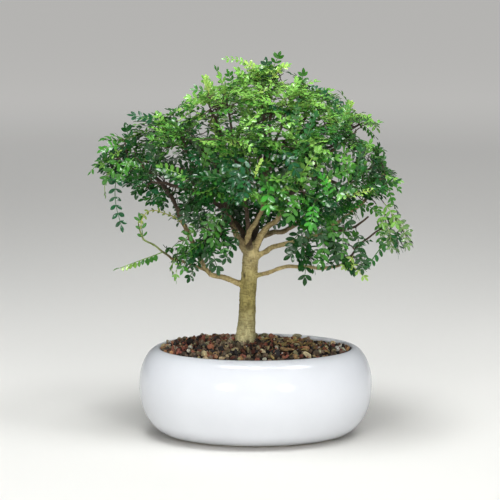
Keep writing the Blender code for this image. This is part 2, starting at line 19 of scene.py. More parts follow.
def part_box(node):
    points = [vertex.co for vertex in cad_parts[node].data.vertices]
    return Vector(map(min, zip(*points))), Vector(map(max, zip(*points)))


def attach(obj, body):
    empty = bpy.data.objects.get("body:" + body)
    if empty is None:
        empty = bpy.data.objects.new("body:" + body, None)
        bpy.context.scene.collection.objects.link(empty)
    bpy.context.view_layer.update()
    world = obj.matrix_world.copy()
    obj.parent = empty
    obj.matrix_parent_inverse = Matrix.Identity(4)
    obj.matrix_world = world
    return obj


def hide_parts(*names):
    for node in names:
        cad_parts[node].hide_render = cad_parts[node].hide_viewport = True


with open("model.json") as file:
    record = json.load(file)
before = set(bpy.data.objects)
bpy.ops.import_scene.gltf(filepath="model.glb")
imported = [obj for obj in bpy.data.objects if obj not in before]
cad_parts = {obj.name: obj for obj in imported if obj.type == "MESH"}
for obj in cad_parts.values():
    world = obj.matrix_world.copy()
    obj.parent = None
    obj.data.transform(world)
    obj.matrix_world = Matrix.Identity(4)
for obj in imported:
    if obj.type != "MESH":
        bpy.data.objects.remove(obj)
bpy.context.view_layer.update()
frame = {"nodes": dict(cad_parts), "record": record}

MM = 0.001
PLANT_SHIFT = Vector((4.4, -4.6, 0.0))
UP = Vector((0.0, 0.0, 1.0))

# Pot, as in the CAD
POT_LENGTH, POT_DEPTH = 210.0, 160.0
BELLY_Z, CREST_Z = 47.7, 80.0
CREST_INSET, FOOT_INSET = 17.0, 35.0
BELLY_POWER, SHOULDER_POWER = 2.2, 1.83
LIP_RADIUS, FOOT_WIDTH, FOOT_RECESS = 2.2, 8.0, 2.4
WALL, FLOOR = 7.0, 8.0
DRAIN_RADIUS, DRAIN_X = 7.0, 19.0
SOIL_EDGE_INSET, SOIL_EDGE_Z, SOIL_MOUND = 20.2, 77.0, 8.5

# Trunk: centre line (x, y, z) and radius. It leans a little to the right going up.
TRUNK = [
    (-11.0, 1.0, 51.0, 8.0),
    (-10.2, 0.5, 71.0, 11.5),
    (-9.4, 0.0, 85.0, 9.2),
    (-8.2, 0.0, 101.0, 7.9),
    (-7.0, 0.0, 127.0, 7.4),
    (-5.4, 0.0, 149.0, 7.1),
    (-4.0, 0.0, 166.0, 7.1),
    (-3.4, 0.0, 173.5, 5.0),
]

# Limbs that leave the trunk or one another. Each starts inside the wood that carries it.
LIMBS = {
    "left_leader": [(-4, 0, 163, 5.2), (-12.6, 1, 173.5, 3.5), (-18.6, 2.5, 185, 2.6), (-22.4, 4, 194.5, 2.35), (-26.6, 5.5, 207, 2.2), (-29, 6, 229, 1.9), (-29, 5, 265, 1.35), (-39, 4, 293, 0.9)],
    "apex_leader": [(-3, 0, 168, 3.8), (-6.9, -1, 177.5, 2.9), (-6.6, -1.5, 183, 2.5), (-4.6, -2, 187.5, 2.35), (-1.2, -2.5, 191.5, 2.15), (2.4, -3, 198, 1.95), (5.6, -3.5, 206, 1.9), (9, -5, 235, 1.85), (13, -5, 277, 1.3), (12, -2, 319, 0.8)],
    "front_left_leader": [(-5, -1, 172, 3.2), (-6.2, -0.5, 185, 2.2), (-7.8, -6, 200, 1.9), (-10.5, -14, 214, 1.9), (-12, -20, 227, 1.75), (-20, -32, 265, 1.25), (-24, -34, 301, 0.8)],
    "right_leader": [(-2, 0, 167, 4.2), (2.8, -1, 176, 3.2), (5.4, -2.5, 181.5, 2.9), (8.2, -4, 186, 2.6), (11.8, -6, 190.2, 2.35), (16.2, -8, 194.8, 2.2), (20, -10, 198, 2.15), (33, -22, 225, 2.1), (56, -36, 253, 1.8), (80, -42, 273, 1.2)],
    "back_right_limb": [(-1, 2, 171, 4.2), (6, 8, 179, 3.6), (17, 20, 181, 3.2), (34, 36, 185, 2.8), (62, 50, 205, 2.3), (98, 42, 235, 1.4)],
    "right_limb": [(-3, 0, 159, 3.6), (4, -2, 164.5, 3.0), (14.5, -6, 169.5, 2.7), (24, -10, 175, 2.5), (36, -14, 178, 2.3), (62, -20, 189, 2.0), (96, -24, 215, 1.7), (110, -20, 235, 1.2)],
    "right_low_limb": [(-5, 0, 141, 3.2), (3, -3, 146, 2.5), (13.5, -7, 150, 2.1), (24, -12, 154.4, 2.0), (39, -18, 156, 1.9), (63, -22, 155.8, 1.6), (76, -22, 158.4, 1.4), (85, -20, 167, 1.2), (95, -18, 178, 1.1), (107, -15, 187, 0.95), (121, -10, 194.5, 0.75)],
    "right_fork": [(61, -20, 188.5, 1.6), (76, -22, 189, 1.35), (90, -22, 194.5, 1.15), (99, -22, 201, 0.85)],
    "left_low_limb": [(-7, 0, 135, 3.6), (-15, -3, 138.5, 3.0), (-29, -8, 143.5, 2.7), (-39.5, -12, 149, 2.6), (-46, -14, 154.5, 2.5), (-53, -14, 172, 2.5), (-61, -13, 186, 2.4), (-72.5, -14, 214, 2.2), (-88, -18, 236, 1.9), (-106, -14, 245, 1.4), (-120, -6, 247, 1.0)],
    "left_low_shoot": [(-42, -13, 151, 1.5), (-70.8, -14, 162.1, 1.4), (-76, -17, 166.2, 1.2), (-84.7, -20, 172, 1.05), (-92.6, -22, 177.7, 0.95), (-99.6, -22, 182.1, 0.85), (-103.1, -21, 189.1, 0.75), (-104.5, -20, 195.2, 0.6)],
    "crown_right_limb": [(10, -5, 239, 2.2), (24, 0, 261, 2.0), (44, 2, 287, 1.6), (60, 2, 302, 1.1)],
    "crown_back_limb": [(9, -4, 229, 2.4), (8, 14, 255, 2.1), (7, 34, 285, 1.7), (6, 50, 303, 1.1)],
    "crown_front_right_limb": [(10, -6, 247, 2.1), (18, -22, 271, 1.7), (28, -40, 297, 1.1)],
    "back_limb": [(-3, 2, 173, 4.0), (0, 12, 185, 3.4), (3, 36, 213, 2.8), (4, 66, 241, 2.2), (4, 84, 269, 1.3)],
    "back_skirt_limb": [(3, 40, 217, 2.2), (1, 74, 227, 1.7), (0, 100, 229, 1.1)],
    "back_left_limb": [(-5, 2, 171, 4.0), (-13, 10, 183, 3.4), (-30, 34, 205, 2.8), (-46, 52, 239, 2.2), (-60, 58, 273, 1.3)],
    "back_left_skirt_limb": [(-32, 36, 209, 2.2), (-46, 62, 223, 1.8), (-54, 86, 233, 1.1)],
    "left_back_limb": [(-38, 42, 223, 2.0), (-66, 46, 235, 1.7), (-98, 46, 241, 1.1)],
    "upper_left_limb": [(-28, 6, 233, 2.4), (-46, 2, 257, 2.1), (-66, -1, 271, 1.7), (-84, -2, 279, 1.1)],
    "upper_right_limb": [(33, -22, 226, 2.2), (56, -8, 251, 2.0), (78, 2, 271, 1.6), (94, 8, 281, 1.1)],
    "upper_right_back_limb": [(8, 4, 241, 2.1), (34, 30, 257, 1.8), (66, 54, 277, 1.1)],
    "front_limb": [(-10, -14, 215, 2.3), (-13, -44, 243, 2.0), (-14, -72, 271, 1.2)],
    "front_middle_limb": [(-12, -30, 230, 1.9), (-10, -60, 236, 1.6), (-8, -88, 235, 1.1)],
    "front_right_limb": [(30, -19, 220, 2.3), (38, -48, 229, 2.0), (40, -88, 227, 1.1)],
    "front_upper_right_limb": [(36, -40, 227, 1.9), (40, -62, 251, 1.6), (38, -76, 265, 1.1)],
    "right_front_limb": [(44, -28, 239, 2.1), (64, -50, 237, 1.7), (84, -68, 229, 1.1)],
    "left_front_limb": [(-24, 3, 201, 2.6), (-40, -26, 217, 2.2), (-66, -44, 231, 1.8), (-90, -48, 235, 1.1)],
    "front_left_limb": [(-40, -26, 218, 1.9), (-46, -50, 227, 1.6), (-52, -76, 233, 1.1)],
    "upper_left_front_limb": [(-42, -29, 219, 1.9), (-54, -42, 245, 1.6), (-62, -50, 271, 1.1)],
    "left_inner_twig": [(-22, 3, 193, 1.9), (-32, -10, 193, 1.5), (-40, -24, 189, 1.0)],
}

# Main roots, hidden in the soil
ROOTS = {
    "root_left": [(-11, 1, 69, 6.0), (-26, 4, 63, 4.2), (-46, 6, 51, 2.6), (-58, 6, 37, 1.4)],
    "root_right": [(-9, 0, 69, 6.0), (8, -4, 62, 4.2), (28, -8, 49, 2.6), (40, -10, 35, 1.4)],
    "root_front": [(-11, -1, 67, 5.6), (-16, -16, 59, 3.8), (-20, -32, 45, 2.0), (-20, -38, 33, 1.2)],
    "root_back": [(-10, 1, 67, 5.6), (-4, 16, 59, 3.8), (4, 32, 45, 2.0), (6, 38, 33, 1.2)],
    "root_down": [(-11, 1, 57, 6.4), (-9, 2, 37, 4.2), (-12, 4, 19, 2.0)],
}

# Leaf sprays: centre x, y, z and half sizes along x, y, z
SPRAYS = {
    "crown_apex": (12, -2, 322, 33, 34, 15),
    "crown_front_left": (-24, -34, 307, 31, 30, 15),
    "crown_front_right": (28, -42, 301, 34, 30, 16),
    "crown_left": (-41, 10, 295, 28, 34, 14),
    "crown_right": (53, 2, 301, 31, 34, 14),
    "crown_back": (6, 50, 305, 42, 30, 16),
    "upper_left": (-83, -2, 277, 31, 36, 15),
    "upper_left_front": (-62, -50, 273, 32, 30, 16),
    "upper_front": (-14, -74, 273, 34, 28, 18),
    "upper_front_right": (38, -76, 267, 34, 28, 18),
    "upper_right_front": (80, -42, 275, 31, 34, 17),
    "upper_right": (89, 8, 282, 25, 32, 13),
    "upper_right_back": (68, 56, 279, 34, 32, 17),
    "upper_back": (4, 86, 273, 38, 28, 19),
    "upper_left_back": (-60, 56, 277, 36, 32, 17),
    "inner_left": (-34, 4, 257, 34, 38, 20),
    "inner_right": (40, 6, 261, 34, 38, 20),
    "left_far": (-118, -4, 245, 26, 32, 20),
    "left_front": (-90, -48, 235, 28, 30, 20),
    "front_left": (-52, -78, 233, 30, 26, 22),
    "front_middle": (-8, -92, 236, 28, 24, 20),
    "front_right": (40, -92, 226, 32, 24, 24),
    "right_front": (84, -70, 229, 28, 28, 26),
    "right_far": (105, -20, 236, 25, 34, 24),
    "right_back": (102, 40, 239, 28, 32, 24),
    "back_right": (56, 88, 231, 34, 26, 24),
    "back_middle": (0, 102, 229, 34, 24, 24),
    "back_left": (-54, 88, 233, 34, 26, 24),
    "left_back": (-100, 46, 241, 30, 32, 20),
    "inner_low": (0, 40, 221, 34, 32, 20),
    "low_left_outer": (-63, -12, 169, 20, 26, 22),
    "low_left_inner": (-36, -26, 190, 21, 26, 21),
    "low_right_inner": (50, -34, 173, 22, 26, 21),
    "low_right": (88, -22, 171, 21, 26, 23),
    "low_right_far": (124, -8, 182, 15, 23, 20),
    "low_back_right": (60, 58, 185, 32, 28, 20),
    "low_back_left": (-48, 60, 191, 32, 28, 20),
}

# Single leaves that stand clear of the sprays: base, tip, droop, roll in degrees
LEAVES = {
    "leaf_left_hanging": ((-125, -24, 225), (-119, -28, 190), -2.0, 15),
    "leaf_left_hanging_inner": ((-106, -52, 214), (-103, -56, 184), -2.0, 20),
    "leaf_left_tip": ((-144.5, -12, 246), (-151, -14, 234), 3.0, 70),
    "leaf_left_shoot_long": ((-86, -26, 163), (-126, -34, 150), 2.0, 75),
    "leaf_left_shoot_end": ((-100, -20, 190), (-109, -30, 196), 1.0, 40),
    "leaf_top_tip": ((20, -6, 337.5), (26, -8, 345), 1.0, 30),
    "leaf_crown_left_tip": ((-12, -20, 326), (-34, -24, 334), 3.0, 60),
    "leaf_right_tip": ((131, -22, 232), (140, -26, 221), 2.0, 60),
    "leaf_low_right_inner": ((46, -46, 152), (44, -50, 134), 1.0, 20),
    "leaf_low_right": ((100, -34, 151), (101, -40, 136), 1.0, 20),
    "leaf_low_left": ((-62, -28, 147), (-64, -32, 133), 1.0, 20),
}

# Leaves and young shoots whose places matter to the outline: piece, tone, the way the leaflets face,
# pairs of leaflets, length of a leaflet, and the line of the midrib up to where the end leaflet springs
FEATURES = [
    ("leaf_left_hanging", "blue", "view", 6, 7.0, [(-121.1, -22, 240.8), (-123.7, -25, 227), (-122.9, -27, 212.2), (-118.6, -28, 194.6)]),
    ("leaf_left_hanging_inner", "deep", "view", 3, 7.0, [(-99.6, -48, 249), (-102, -52, 239), (-103.3, -54, 227)]),
    ("spray_left_front", "blue", "view", 3, 7.0, [(-95.5, -44, 238.1), (-92.8, -46, 230.4), (-89.3, -48, 223.7), (-86.7, -48, 219.3)]),
    ("spray_left_front", "mid", "half", 4, 6.2, [(-105.6, -48, 256), (-112.3, -52, 249.4), (-117.5, -54, 241)]),
    ("spray_left_far", "fresh", "edge", 3, 4.6, [(-128.1, -10, 243), (-133.3, -12, 230.7), (-133.5, -12, 220.1)]),
    ("leaf_left_tip", "mid", "up", 5, 5.2, [(-122, -6, 252.3), (-132.4, -10, 250.1), (-140.3, -12, 245.9), (-145.1, -13, 240.6)]),
    ("spray_left_far", "fresh", "half", 4, 5.0, [(-117.9, -14, 259.4), (-126.7, -16, 254.3), (-134.6, -18, 246.5)]),
    ("spray_left_far", "mid", "view", 3, 7.4, [(-119.1, -26, 251.8), (-126, -28, 243.2), (-130.5, -28, 236.2)]),
    ("spray_left_far", "mid", "up", 4, 6.0, [(-116.6, -6, 265.7), (-125.3, -8, 267.6), (-132.2, -10, 267.8)]),
    ("spray_upper_left", "blue", "half", 5, 6.6, [(-84.3, -14, 281.5), (-94.6, -18, 287.1), (-106.8, -20, 290)]),
    ("spray_upper_left", "fresh", "view", 4, 5.2, [(-78.7, -22, 276.1), (-83, -24, 284.2), (-85.6, -24, 290.3)]),
    ("spray_upper_left", "deep", "half", 4, 7.0, [(-107, -20, 260), (-110.4, -22, 269), (-112.9, -22, 277.8)]),
    ("spray_upper_left", "fresh", "up", 5, 5.2, [(-68.2, -20, 285.6), (-59.5, -18, 291.5), (-50.7, -18, 301.2)]),
    ("spray_upper_left", "mid", "up", 5, 5.2, [(-79.3, -6, 287.8), (-70.3, -8, 294.2), (-59.7, -10, 303.2)]),
    ("leaf_left_shoot_end", "mid", "view", 3, 6.0, [(-99.7, -20, 180.1), (-100.4, -22, 189.3), (-102.1, -23, 199.2)]),
    ("leaf_left_shoot_end", "youngtip", "half", 9, 3.9, [(-60.9, -14, 189.9), (-70.6, -16, 199.2), (-80.2, -18, 203.4), (-88.9, -20, 206.4), (-95.5, -22, 205.3), (-99.9, -23, 200.1), (-101.2, -24, 194)]),
    ("leaf_left_shoot_long", "turning", "hang", 9, 6.8, [(-81.9, -24, 169.9), (-93.3, -27, 165.9), (-105.5, -30, 161.9), (-119.4, -34, 157.2)]),
    ("spray_low_left_outer", "fresh", "edge", 4, 5.0, [(-70.7, -18, 165.4), (-74.6, -20, 156.8), (-73.8, -20, 150.5), (-71.6, -20, 145.1)]),
    ("leaf_low_left", "deep", "view", 4, 5.9, [(-49.2, -26, 164), (-53.6, -28, 158), (-58, -31, 148.7)]),
    ("spray_low_left_outer", "mid", "view", 4, 6.6, [(-44.7, -26, 180.9), (-53.5, -28, 175), (-63.2, -30, 168.2)]),
    ("spray_low_left_outer", "mid", "view", 4, 6.4, [(-50.8, -28, 191.9), (-59.6, -30, 185.1), (-65.7, -32, 176.5)]),
    ("spray_low_left_outer", "mid", "view", 3, 6.8, [(-52.7, -24, 175.3), (-60.7, -26, 164.9), (-64.2, -28, 156.3)]),
    ("spray_low_left_outer", "fresh", "view", 2, 4.4, [(-66.1, -22, 160.7), (-69.7, -23, 154.6), (-70.6, -23, 149.2)]),
    ("spray_low_left_inner", "deep", "view", 4, 7.2, [(-41.9, -34, 182.1), (-37.5, -36, 170), (-34, -37, 157.7)]),
    ("spray_low_left_inner", "deep", "view", 4, 7.2, [(-16.5, -30, 186.9), (-20.9, -32, 176.5), (-26.2, -34, 166.1)]),
    ("spray_low_left_inner", "mid", "view", 4, 7.0, [(-29.5, -44, 205.6), (-34.7, -46, 195.3), (-37.3, -48, 184.2)]),
    ("spray_low_left_inner", "deep", "view", 4, 7.2, [(-40.2, -30, 217), (-47.2, -32, 208.4), (-50.7, -34, 198.1)]),
    ("spray_low_left_inner", "deep", "half", 4, 7.0, [(-24.5, -20, 211.3), (-27.1, -22, 201.7), (-29.8, -24, 189.6)]),
    ("spray_low_left_inner", "mid", "view", 3, 7.0, [(-35.4, -52, 209.3), (-40.6, -54, 200.8), (-43.2, -55, 192.2)]),
    ("spray_low_left_outer", "deep", "view", 4, 6.8, [(-57.9, -24, 219.8), (-61.4, -26, 211.2), (-63.2, -26, 200.5)]),
    ("spray_low_left_inner", "deep", "half", 4, 6.8, [(-50.1, -18, 224.4), (-55.4, -20, 213), (-58, -20, 202.4)]),
    ("spray_low_left_inner", "deep", "view", 4, 6.8, [(-38.7, -20, 183.6), (-45.7, -22, 175), (-52.8, -22, 167.8)]),
    ("leaf_crown_left_tip", "fresh", "half", 7, 4.2, [(-4.2, -16, 323), (-5.1, -18, 331), (-10.3, -20, 336.8), (-18.1, -22, 339.5), (-26, -24, 340.1)]),
    ("spray_crown_front_left", "young", "spear", 4, 5.2, [(-40.8, -30, 310.9), (-42, -31, 317.1), (-42.9, -31, 322.3)]),
    ("spray_crown_left", "mid", "half", 3, 4.8, [(-29.7, -10, 317.3), (-32.3, -12, 324.5), (-34.5, -12, 329.7)]),
    ("spray_crown_left", "fresh", "up", 4, 5.4, [(-26.2, -4, 313.3), (-34.2, -6, 314.3), (-42.1, -8, 311)]),
    ("leaf_top_tip", "mid", "view", 4, 5.9, [(13.5, -4, 323.9), (16.1, -6, 332.8), (19.6, -8, 340.9)]),
    ("spray_crown_apex", "young", "half", 3, 4.6, [(14.2, -14, 322.8), (19.5, -16, 328.7), (24.7, -17, 332.7)]),
    ("spray_crown_apex", "young", "view", 4, 5.8, [(5.5, -16, 321.2), (0.2, -18, 328.4), (-5.9, -20, 334.6)]),
    ("spray_crown_apex", "fresh", "half", 4, 5.6, [(0.2, -20, 318), (-7.7, -22, 323.4), (-15.5, -24, 329.6)]),
    ("spray_crown_apex", "blue", "view", 3, 6.4, [(9, -16, 319.5), (8.9, -18, 327.5), (8.9, -18, 335.4)]),
    ("spray_crown_right", "mid", "half", 3, 6.4, [(39.1, -2, 310.5), (40.9, -2, 317.6), (41.7, -2, 324.6)]),
    ("spray_crown_right", "deep", "up", 3, 5.6, [(41.7, -4, 316.8), (36.4, -6, 323.2), (31, -8, 325.9)]),
    ("spray_crown_right", "fresh", "up", 3, 5.6, [(41.6, -8, 313.6), (46.9, -8, 318), (52.2, -8, 318.9)]),
    ("spray_crown_right", "blue", "half", 5, 5.8, [(44.5, 0, 313), (53.3, 0, 311.2), (63.1, 0, 305.9)]),
    ("spray_upper_right", "blue", "half", 5, 5.6, [(58.8, 4, 305.6), (67.7, 4, 302.1), (77.5, 4, 295.9)]),
    ("spray_upper_right", "young", "spear", 4, 4.8, [(79.1, 0, 289.1), (81.7, -1, 294.5), (83.5, -1, 298)]),
    ("spray_upper_right", "fresh", "hang", 7, 5.6, [(83.8, 4, 287), (93.6, 6, 289.5), (102.6, 8, 285.7), (108.2, 10, 276.6)]),
    ("spray_upper_right", "mid", "hang", 5, 5.0, [(90.9, 4, 282.5), (99.1, 6, 277), (106.3, 8, 269.6)]),
    ("spray_right_far", "mid", "up", 4, 6.2, [(104.6, -8, 260.5), (109.9, -10, 251.9), (113.5, -10, 242.1)]),
    ("spray_right_far", "young", "spear", 4, 5.6, [(89.3, -34, 242.2), (90.5, -36, 250.3), (91.7, -36, 257.3)]),
    ("leaf_right_tip", "fresh", "up", 4, 5.0, [(112.2, -18, 238.6), (119.1, -20, 235.2), (126.1, -22, 232.8)]),
    ("leaf_right_tip", "mid", "half", 3, 5.0, [(114.7, -20, 237), (120.7, -24, 230.4), (125, -26, 226.2)]),
    ("spray_right_far", "mid", "view", 4, 6.0, [(113.9, -20, 233.5), (117.3, -22, 224.8), (119.2, -22, 216.9)]),
    ("spray_right_front", "young", "view", 3, 4.4, [(57.8, -88, 227), (58.6, -90, 234.9), (59.8, -90, 240.9)]),
    ("spray_right_front", "young", "half", 8, 4.2, [(68.2, -84, 226.5), (80.1, -84, 228.2), (91.4, -80, 230.2), (101, -76, 231)]),
    ("spray_right_front", "bright", "half", 5, 5.0, [(68.5, -78, 212.8), (77, -80, 215.2), (85.5, -80, 218.6)]),
    ("spray_right_front", "deep", "view", 4, 7.0, [(69.7, -70, 218.6), (74, -71, 211), (79.1, -72, 202.4)]),
    ("spray_right_front", "mid", "view", 4, 6.8, [(63.6, -72, 213.7), (64.5, -74, 203.6), (66.2, -74, 193.2)]),
    ("spray_right_front", "deep", "view", 4, 6.8, [(53.4, -70, 211.7), (55.9, -72, 201.6), (56.9, -72, 191.1)]),
    ("spray_right_far", "fresh", "view", 4, 6.6, [(113.4, -16, 212.5), (119.6, -18, 204.8), (124.1, -18, 195)]),
    ("spray_low_right", "deep", "view", 6, 6.6, [(87.6, -40, 191.8), (90.3, -42, 179.7), (92.1, -43, 168.4), (93, -43, 158.6)]),
    ("spray_low_right", "mid", "view", 4, 6.8, [(76.1, -44, 194.2), (76.1, -46, 183.9), (75.3, -46, 173.3)]),
    ("spray_low_right", "young", "view", 2, 5.0, [(85.4, -36, 168.2), (81.8, -38, 163.2), (78.3, -38, 159.6)]),
    ("leaf_low_right", "young", "view", 3, 5.2, [(82.9, -34, 161.7), (88.9, -37, 155.9), (95, -39, 150)]),
    ("leaf_low_right_inner", "deep", "view", 4, 8.0, [(41.3, -44, 176.5), (43.4, -47, 166.4), (42.9, -50, 151.8)]),
    ("spray_low_right_inner", "deep", "view", 4, 8.0, [(48.2, -46, 183.9), (39.4, -50, 177.4), (30.6, -52, 171.5)]),
    ("spray_low_right_inner", "mid", "view", 4, 7.4, [(57.6, -50, 186.2), (58.5, -52, 176.8), (55.8, -54, 165.7)]),
    ("spray_low_right_inner", "deep", "view", 4, 7.4, [(38.5, -46, 190.9), (33.3, -48, 184.2), (30.7, -50, 176.5)]),
    ("spray_low_right_inner", "bright", "view", 4, 6.4, [(53.1, -78, 218.8), (50.5, -80, 210.4), (48, -80, 200.9)]),
    ("spray_low_right_inner", "deep", "view", 4, 7.2, [(45.1, -60, 207.7), (43.3, -62, 198.4), (39.9, -62, 188)]),
    ("spray_low_right_inner", "deep", "view", 4, 7.0, [(69.1, -44, 190.6), (68.2, -46, 180.3), (70.1, -46, 168.9)]),
    ("spray_low_right_far", "frost", "view", 5, 5.4, [(125.3, -12, 198.6), (131.5, -14, 187.2), (135.1, -15, 174.8)]),
    ("spray_low_right_far", "frost", "view", 5, 5.4, [(115.2, -18, 196.7), (118.7, -20, 184.5), (120.2, -20, 172.9)]),
    ("spray_low_right_far", "mid", "view", 4, 5.6, [(107.5, -14, 195.3), (110.1, -16, 184.8), (112, -16, 175)]),
    ("spray_low_right_far", "frost", "view", 4, 5.2, [(122.4, -2, 200.8), (129.6, -3, 193.8), (135.8, -4, 184.9)]),
    ("spray_front_middle", "bright", "view", 3, 7.2, [(9.2, -108, 242.2), (10.1, -110, 231.4), (10.1, -112, 221.5)]),
    ("spray_front_middle", "young", "spear", 5, 3.2, [(-0.9, -104, 245.9), (0.8, -106, 252.9), (4.2, -106, 259.7)]),
    ("spray_front_middle", "blue", "half", 4, 7.4, [(-6.7, -100, 261.6), (-13.5, -106, 253.8), (-17.7, -108, 243.9)]),
    ("spray_front_middle", "blue", "view", 4, 7.0, [(-5.1, -104, 250.2), (-8.4, -108, 242.2), (-10.9, -110, 232.3)]),
    ("spray_upper_front", "fresh", "up", 5, 5.6, [(-47.5, -84, 274.3), (-38.1, -88, 273), (-28.8, -90, 269)]),
    ("spray_upper_front", "fresh", "half", 4, 5.4, [(-16, -92, 275.1), (-8.4, -94, 272.8), (-1.7, -94, 267.7)]),
    ("spray_front_right", "mid", "view", 4, 7.2, [(35.4, -104, 233.2), (32.8, -108, 223.5), (28.6, -108, 213.4)]),
    ("spray_front_right", "blue", "view", 4, 7.2, [(21.9, -100, 268.3), (28.6, -104, 260.3), (33.6, -106, 251.2)]),
    ("spray_front_right", "deep", "view", 4, 7.0, [(45.7, -96, 233.9), (47.4, -98, 224), (46.6, -98, 213.7)]),
    # leaves hanging behind the fork, their deep tone partly painted shade
    ("spray_inner_low", "deep", "view", 6, 6.4, [(-27, 16, 216), (-30, 14, 204), (-31, 12, 190)]),
    ("spray_inner_low", "deep", "view", 5, 6.6, [(-19, 22, 214), (-20, 20, 203), (-19, 18, 192)]),
    ("spray_inner_low", "deep", "half", 6, 6.4, [(-9, 26, 212), (-12, 24, 200), (-11, 22, 187)]),
    ("spray_inner_low", "deep", "view", 6, 6.6, [(0, 24, 214), (-2, 22, 202), (1, 20, 188)]),
    ("spray_inner_low", "mid", "view", 5, 6.4, [(8, 18, 216), (9, 17, 206), (7, 16, 195)]),
    ("spray_inner_low", "deep", "view", 6, 6.6, [(15, 28, 212), (13, 26, 200), (16, 24, 189)]),
    ("spray_inner_low", "deep", "half", 6, 6.6, [(23, 24, 214), (24, 22, 203), (22, 20, 191)]),
    ("spray_inner_low", "deep", "view", 5, 6.4, [(32, 34, 210), (33, 33, 200), (32, 32, 190)]),
    ("spray_inner_low", "deep", "view", 6, 6.6, [(-6, 34, 208), (-4, 33, 197), (-7, 32, 184)]),
    ("spray_inner_low", "deep", "view", 6, 6.4, [(6, 36, 208), (9, 35, 196), (8, 34, 183)]),
    ("spray_inner_low", "deep", "view", 5, 6.4, [(-16, 36, 206), (-18, 35, 196), (-17, 34, 186)]),
    # leaves that fill out the rim
    ("spray_left_front", "deep", "view", 4, 6.6, [(-80, 4, 227), (-80.9, 2, 218.3), (-82.6, 0, 209.6)]),
    ("spray_left_front", "deep", "view", 4, 6.6, [(-72.1, 6, 223.2), (-70.3, 4, 213.6), (-67.6, 2, 203)]),
    ("spray_left_front", "deep", "view", 3, 6.6, [(-88, 4, 227.9), (-87.1, 2, 221), (-85.3, 1, 213)]),
    ("spray_left_front", "deep", "half", 4, 6.4, [(-65.9, 8, 226.6), (-62.3, 6, 217.8), (-59.6, 4, 208.2)]),
    ("spray_left_far", "mid", "up", 4, 6.0, [(-118.4, -4, 269), (-125.3, -8, 271.2), (-133.8, -12, 268.9)]),
    ("spray_left_far", "mid", "half", 4, 6.0, [(-119.7, -14, 262.9), (-126.6, -16, 263.1), (-134.4, -18, 259.8)]),
    ("spray_low_left_inner", "deep", "view", 4, 7.0, [(-44.7, -28, 178.6), (-42.1, -30, 169.1), (-40.3, -31, 160.3)]),
    ("spray_low_left_inner", "mid", "view", 4, 6.6, [(-32.3, -30, 194), (-30.6, -31, 183.4), (-27.9, -32, 172.9)]),
    ("spray_crown_front_left", "fresh", "half", 4, 5.6, [(-36.5, -24, 309.6), (-40, -26, 315.8), (-44.3, -27, 322)]),
    ("spray_crown_front_left", "fresh", "half", 4, 5.6, [(-26.1, -22, 309.4), (-27.8, -24, 316.6), (-31.2, -25, 324.5)]),
    ("spray_crown_front_left", "mid", "half", 4, 5.8, [(-19.1, -20, 311), (-20.8, -22, 318.2), (-23.4, -23, 326.1)]),
    ("spray_crown_apex", "fresh", "half", 4, 5.8, [(-8.6, -18, 316.1), (-11.2, -20, 322.4), (-15.5, -21, 328.6)]),
    ("spray_crown_left", "fresh", "half", 4, 5.8, [(-41.1, -16, 300.2), (-49.8, -19, 304.8), (-57.6, -20, 305.8)]),
    ("spray_crown_left", "mid", "up", 4, 5.8, [(-42.9, -14, 293), (-51.6, -17, 297.6), (-60.3, -19, 297.8)]),
    ("spray_crown_left", "mid", "half", 4, 5.8, [(-36.8, -10, 303.2), (-44.6, -13, 310.5), (-52.5, -15, 312.4)]),
    # horizontal leaves in front of the stems high in the crown
    ("spray_crown_front_left", "mid", "up", 5, 6.4, [(-45.6, -52, 292.8), (-36, -56, 295.7), (-25.7, -60, 296.9)]),
    ("spray_crown_front_left", "deep", "up", 5, 6.4, [(-37.7, -58, 285.5), (-27.4, -62, 288.5), (-17, -66, 289.7)]),
    ("spray_crown_front_left", "mid", "up", 5, 6.4, [(-20.6, -50, 299.5), (-10.2, -54, 303.3), (0.1, -58, 303.6)]),
    ("spray_crown_front_right", "mid", "up", 5, 6.4, [(-1.6, -56, 293.1), (8.7, -60, 296.9), (18.9, -64, 297.3)]),
    ("spray_crown_front_right", "deep", "up", 5, 6.4, [(3.5, -60, 286.6), (13.8, -64, 289.5), (24, -68, 289.9)]),
    ("spray_crown_front_right", "mid", "up", 5, 6.4, [(13.8, -62, 283.3), (23.2, -66, 287.1), (33.4, -70, 286.7)]),
    ("spray_crown_front_right", "blue", "up", 5, 6.4, [(8.7, -50, 303), (19, -54, 300.7), (28.4, -58, 296.7)]),
    ("spray_upper_front", "deep", "up", 5, 6.6, [(-20.4, -78, 279.7), (-9.3, -82, 282.7), (1.7, -86, 283)]),
    ("spray_front_right", "bright", "view", 4, 6.6, [(48.7, -110, 224.6), (47.8, -112, 216.4), (46.2, -113, 207.3)]),
    ("spray_front_right", "bright", "half", 4, 6.0, [(61.5, -104, 229), (59.7, -106, 236.9), (55.4, -107, 245.4)]),
    ("spray_right_far", "mid", "half", 4, 6.0, [(90.9, -24, 213.6), (98.7, -26, 211.2), (106.6, -28, 206.1)]),
    ("spray_right_far", "fresh", "view", 4, 5.6, [(106.1, -20, 212.2), (109.7, -21, 203.4), (112.3, -22, 194.6)]),
    ("spray_low_right_far", "mid", "view", 4, 5.6, [(113.6, -14, 202.5), (116.3, -15, 192.8), (119.9, -16, 182.2)]),
]

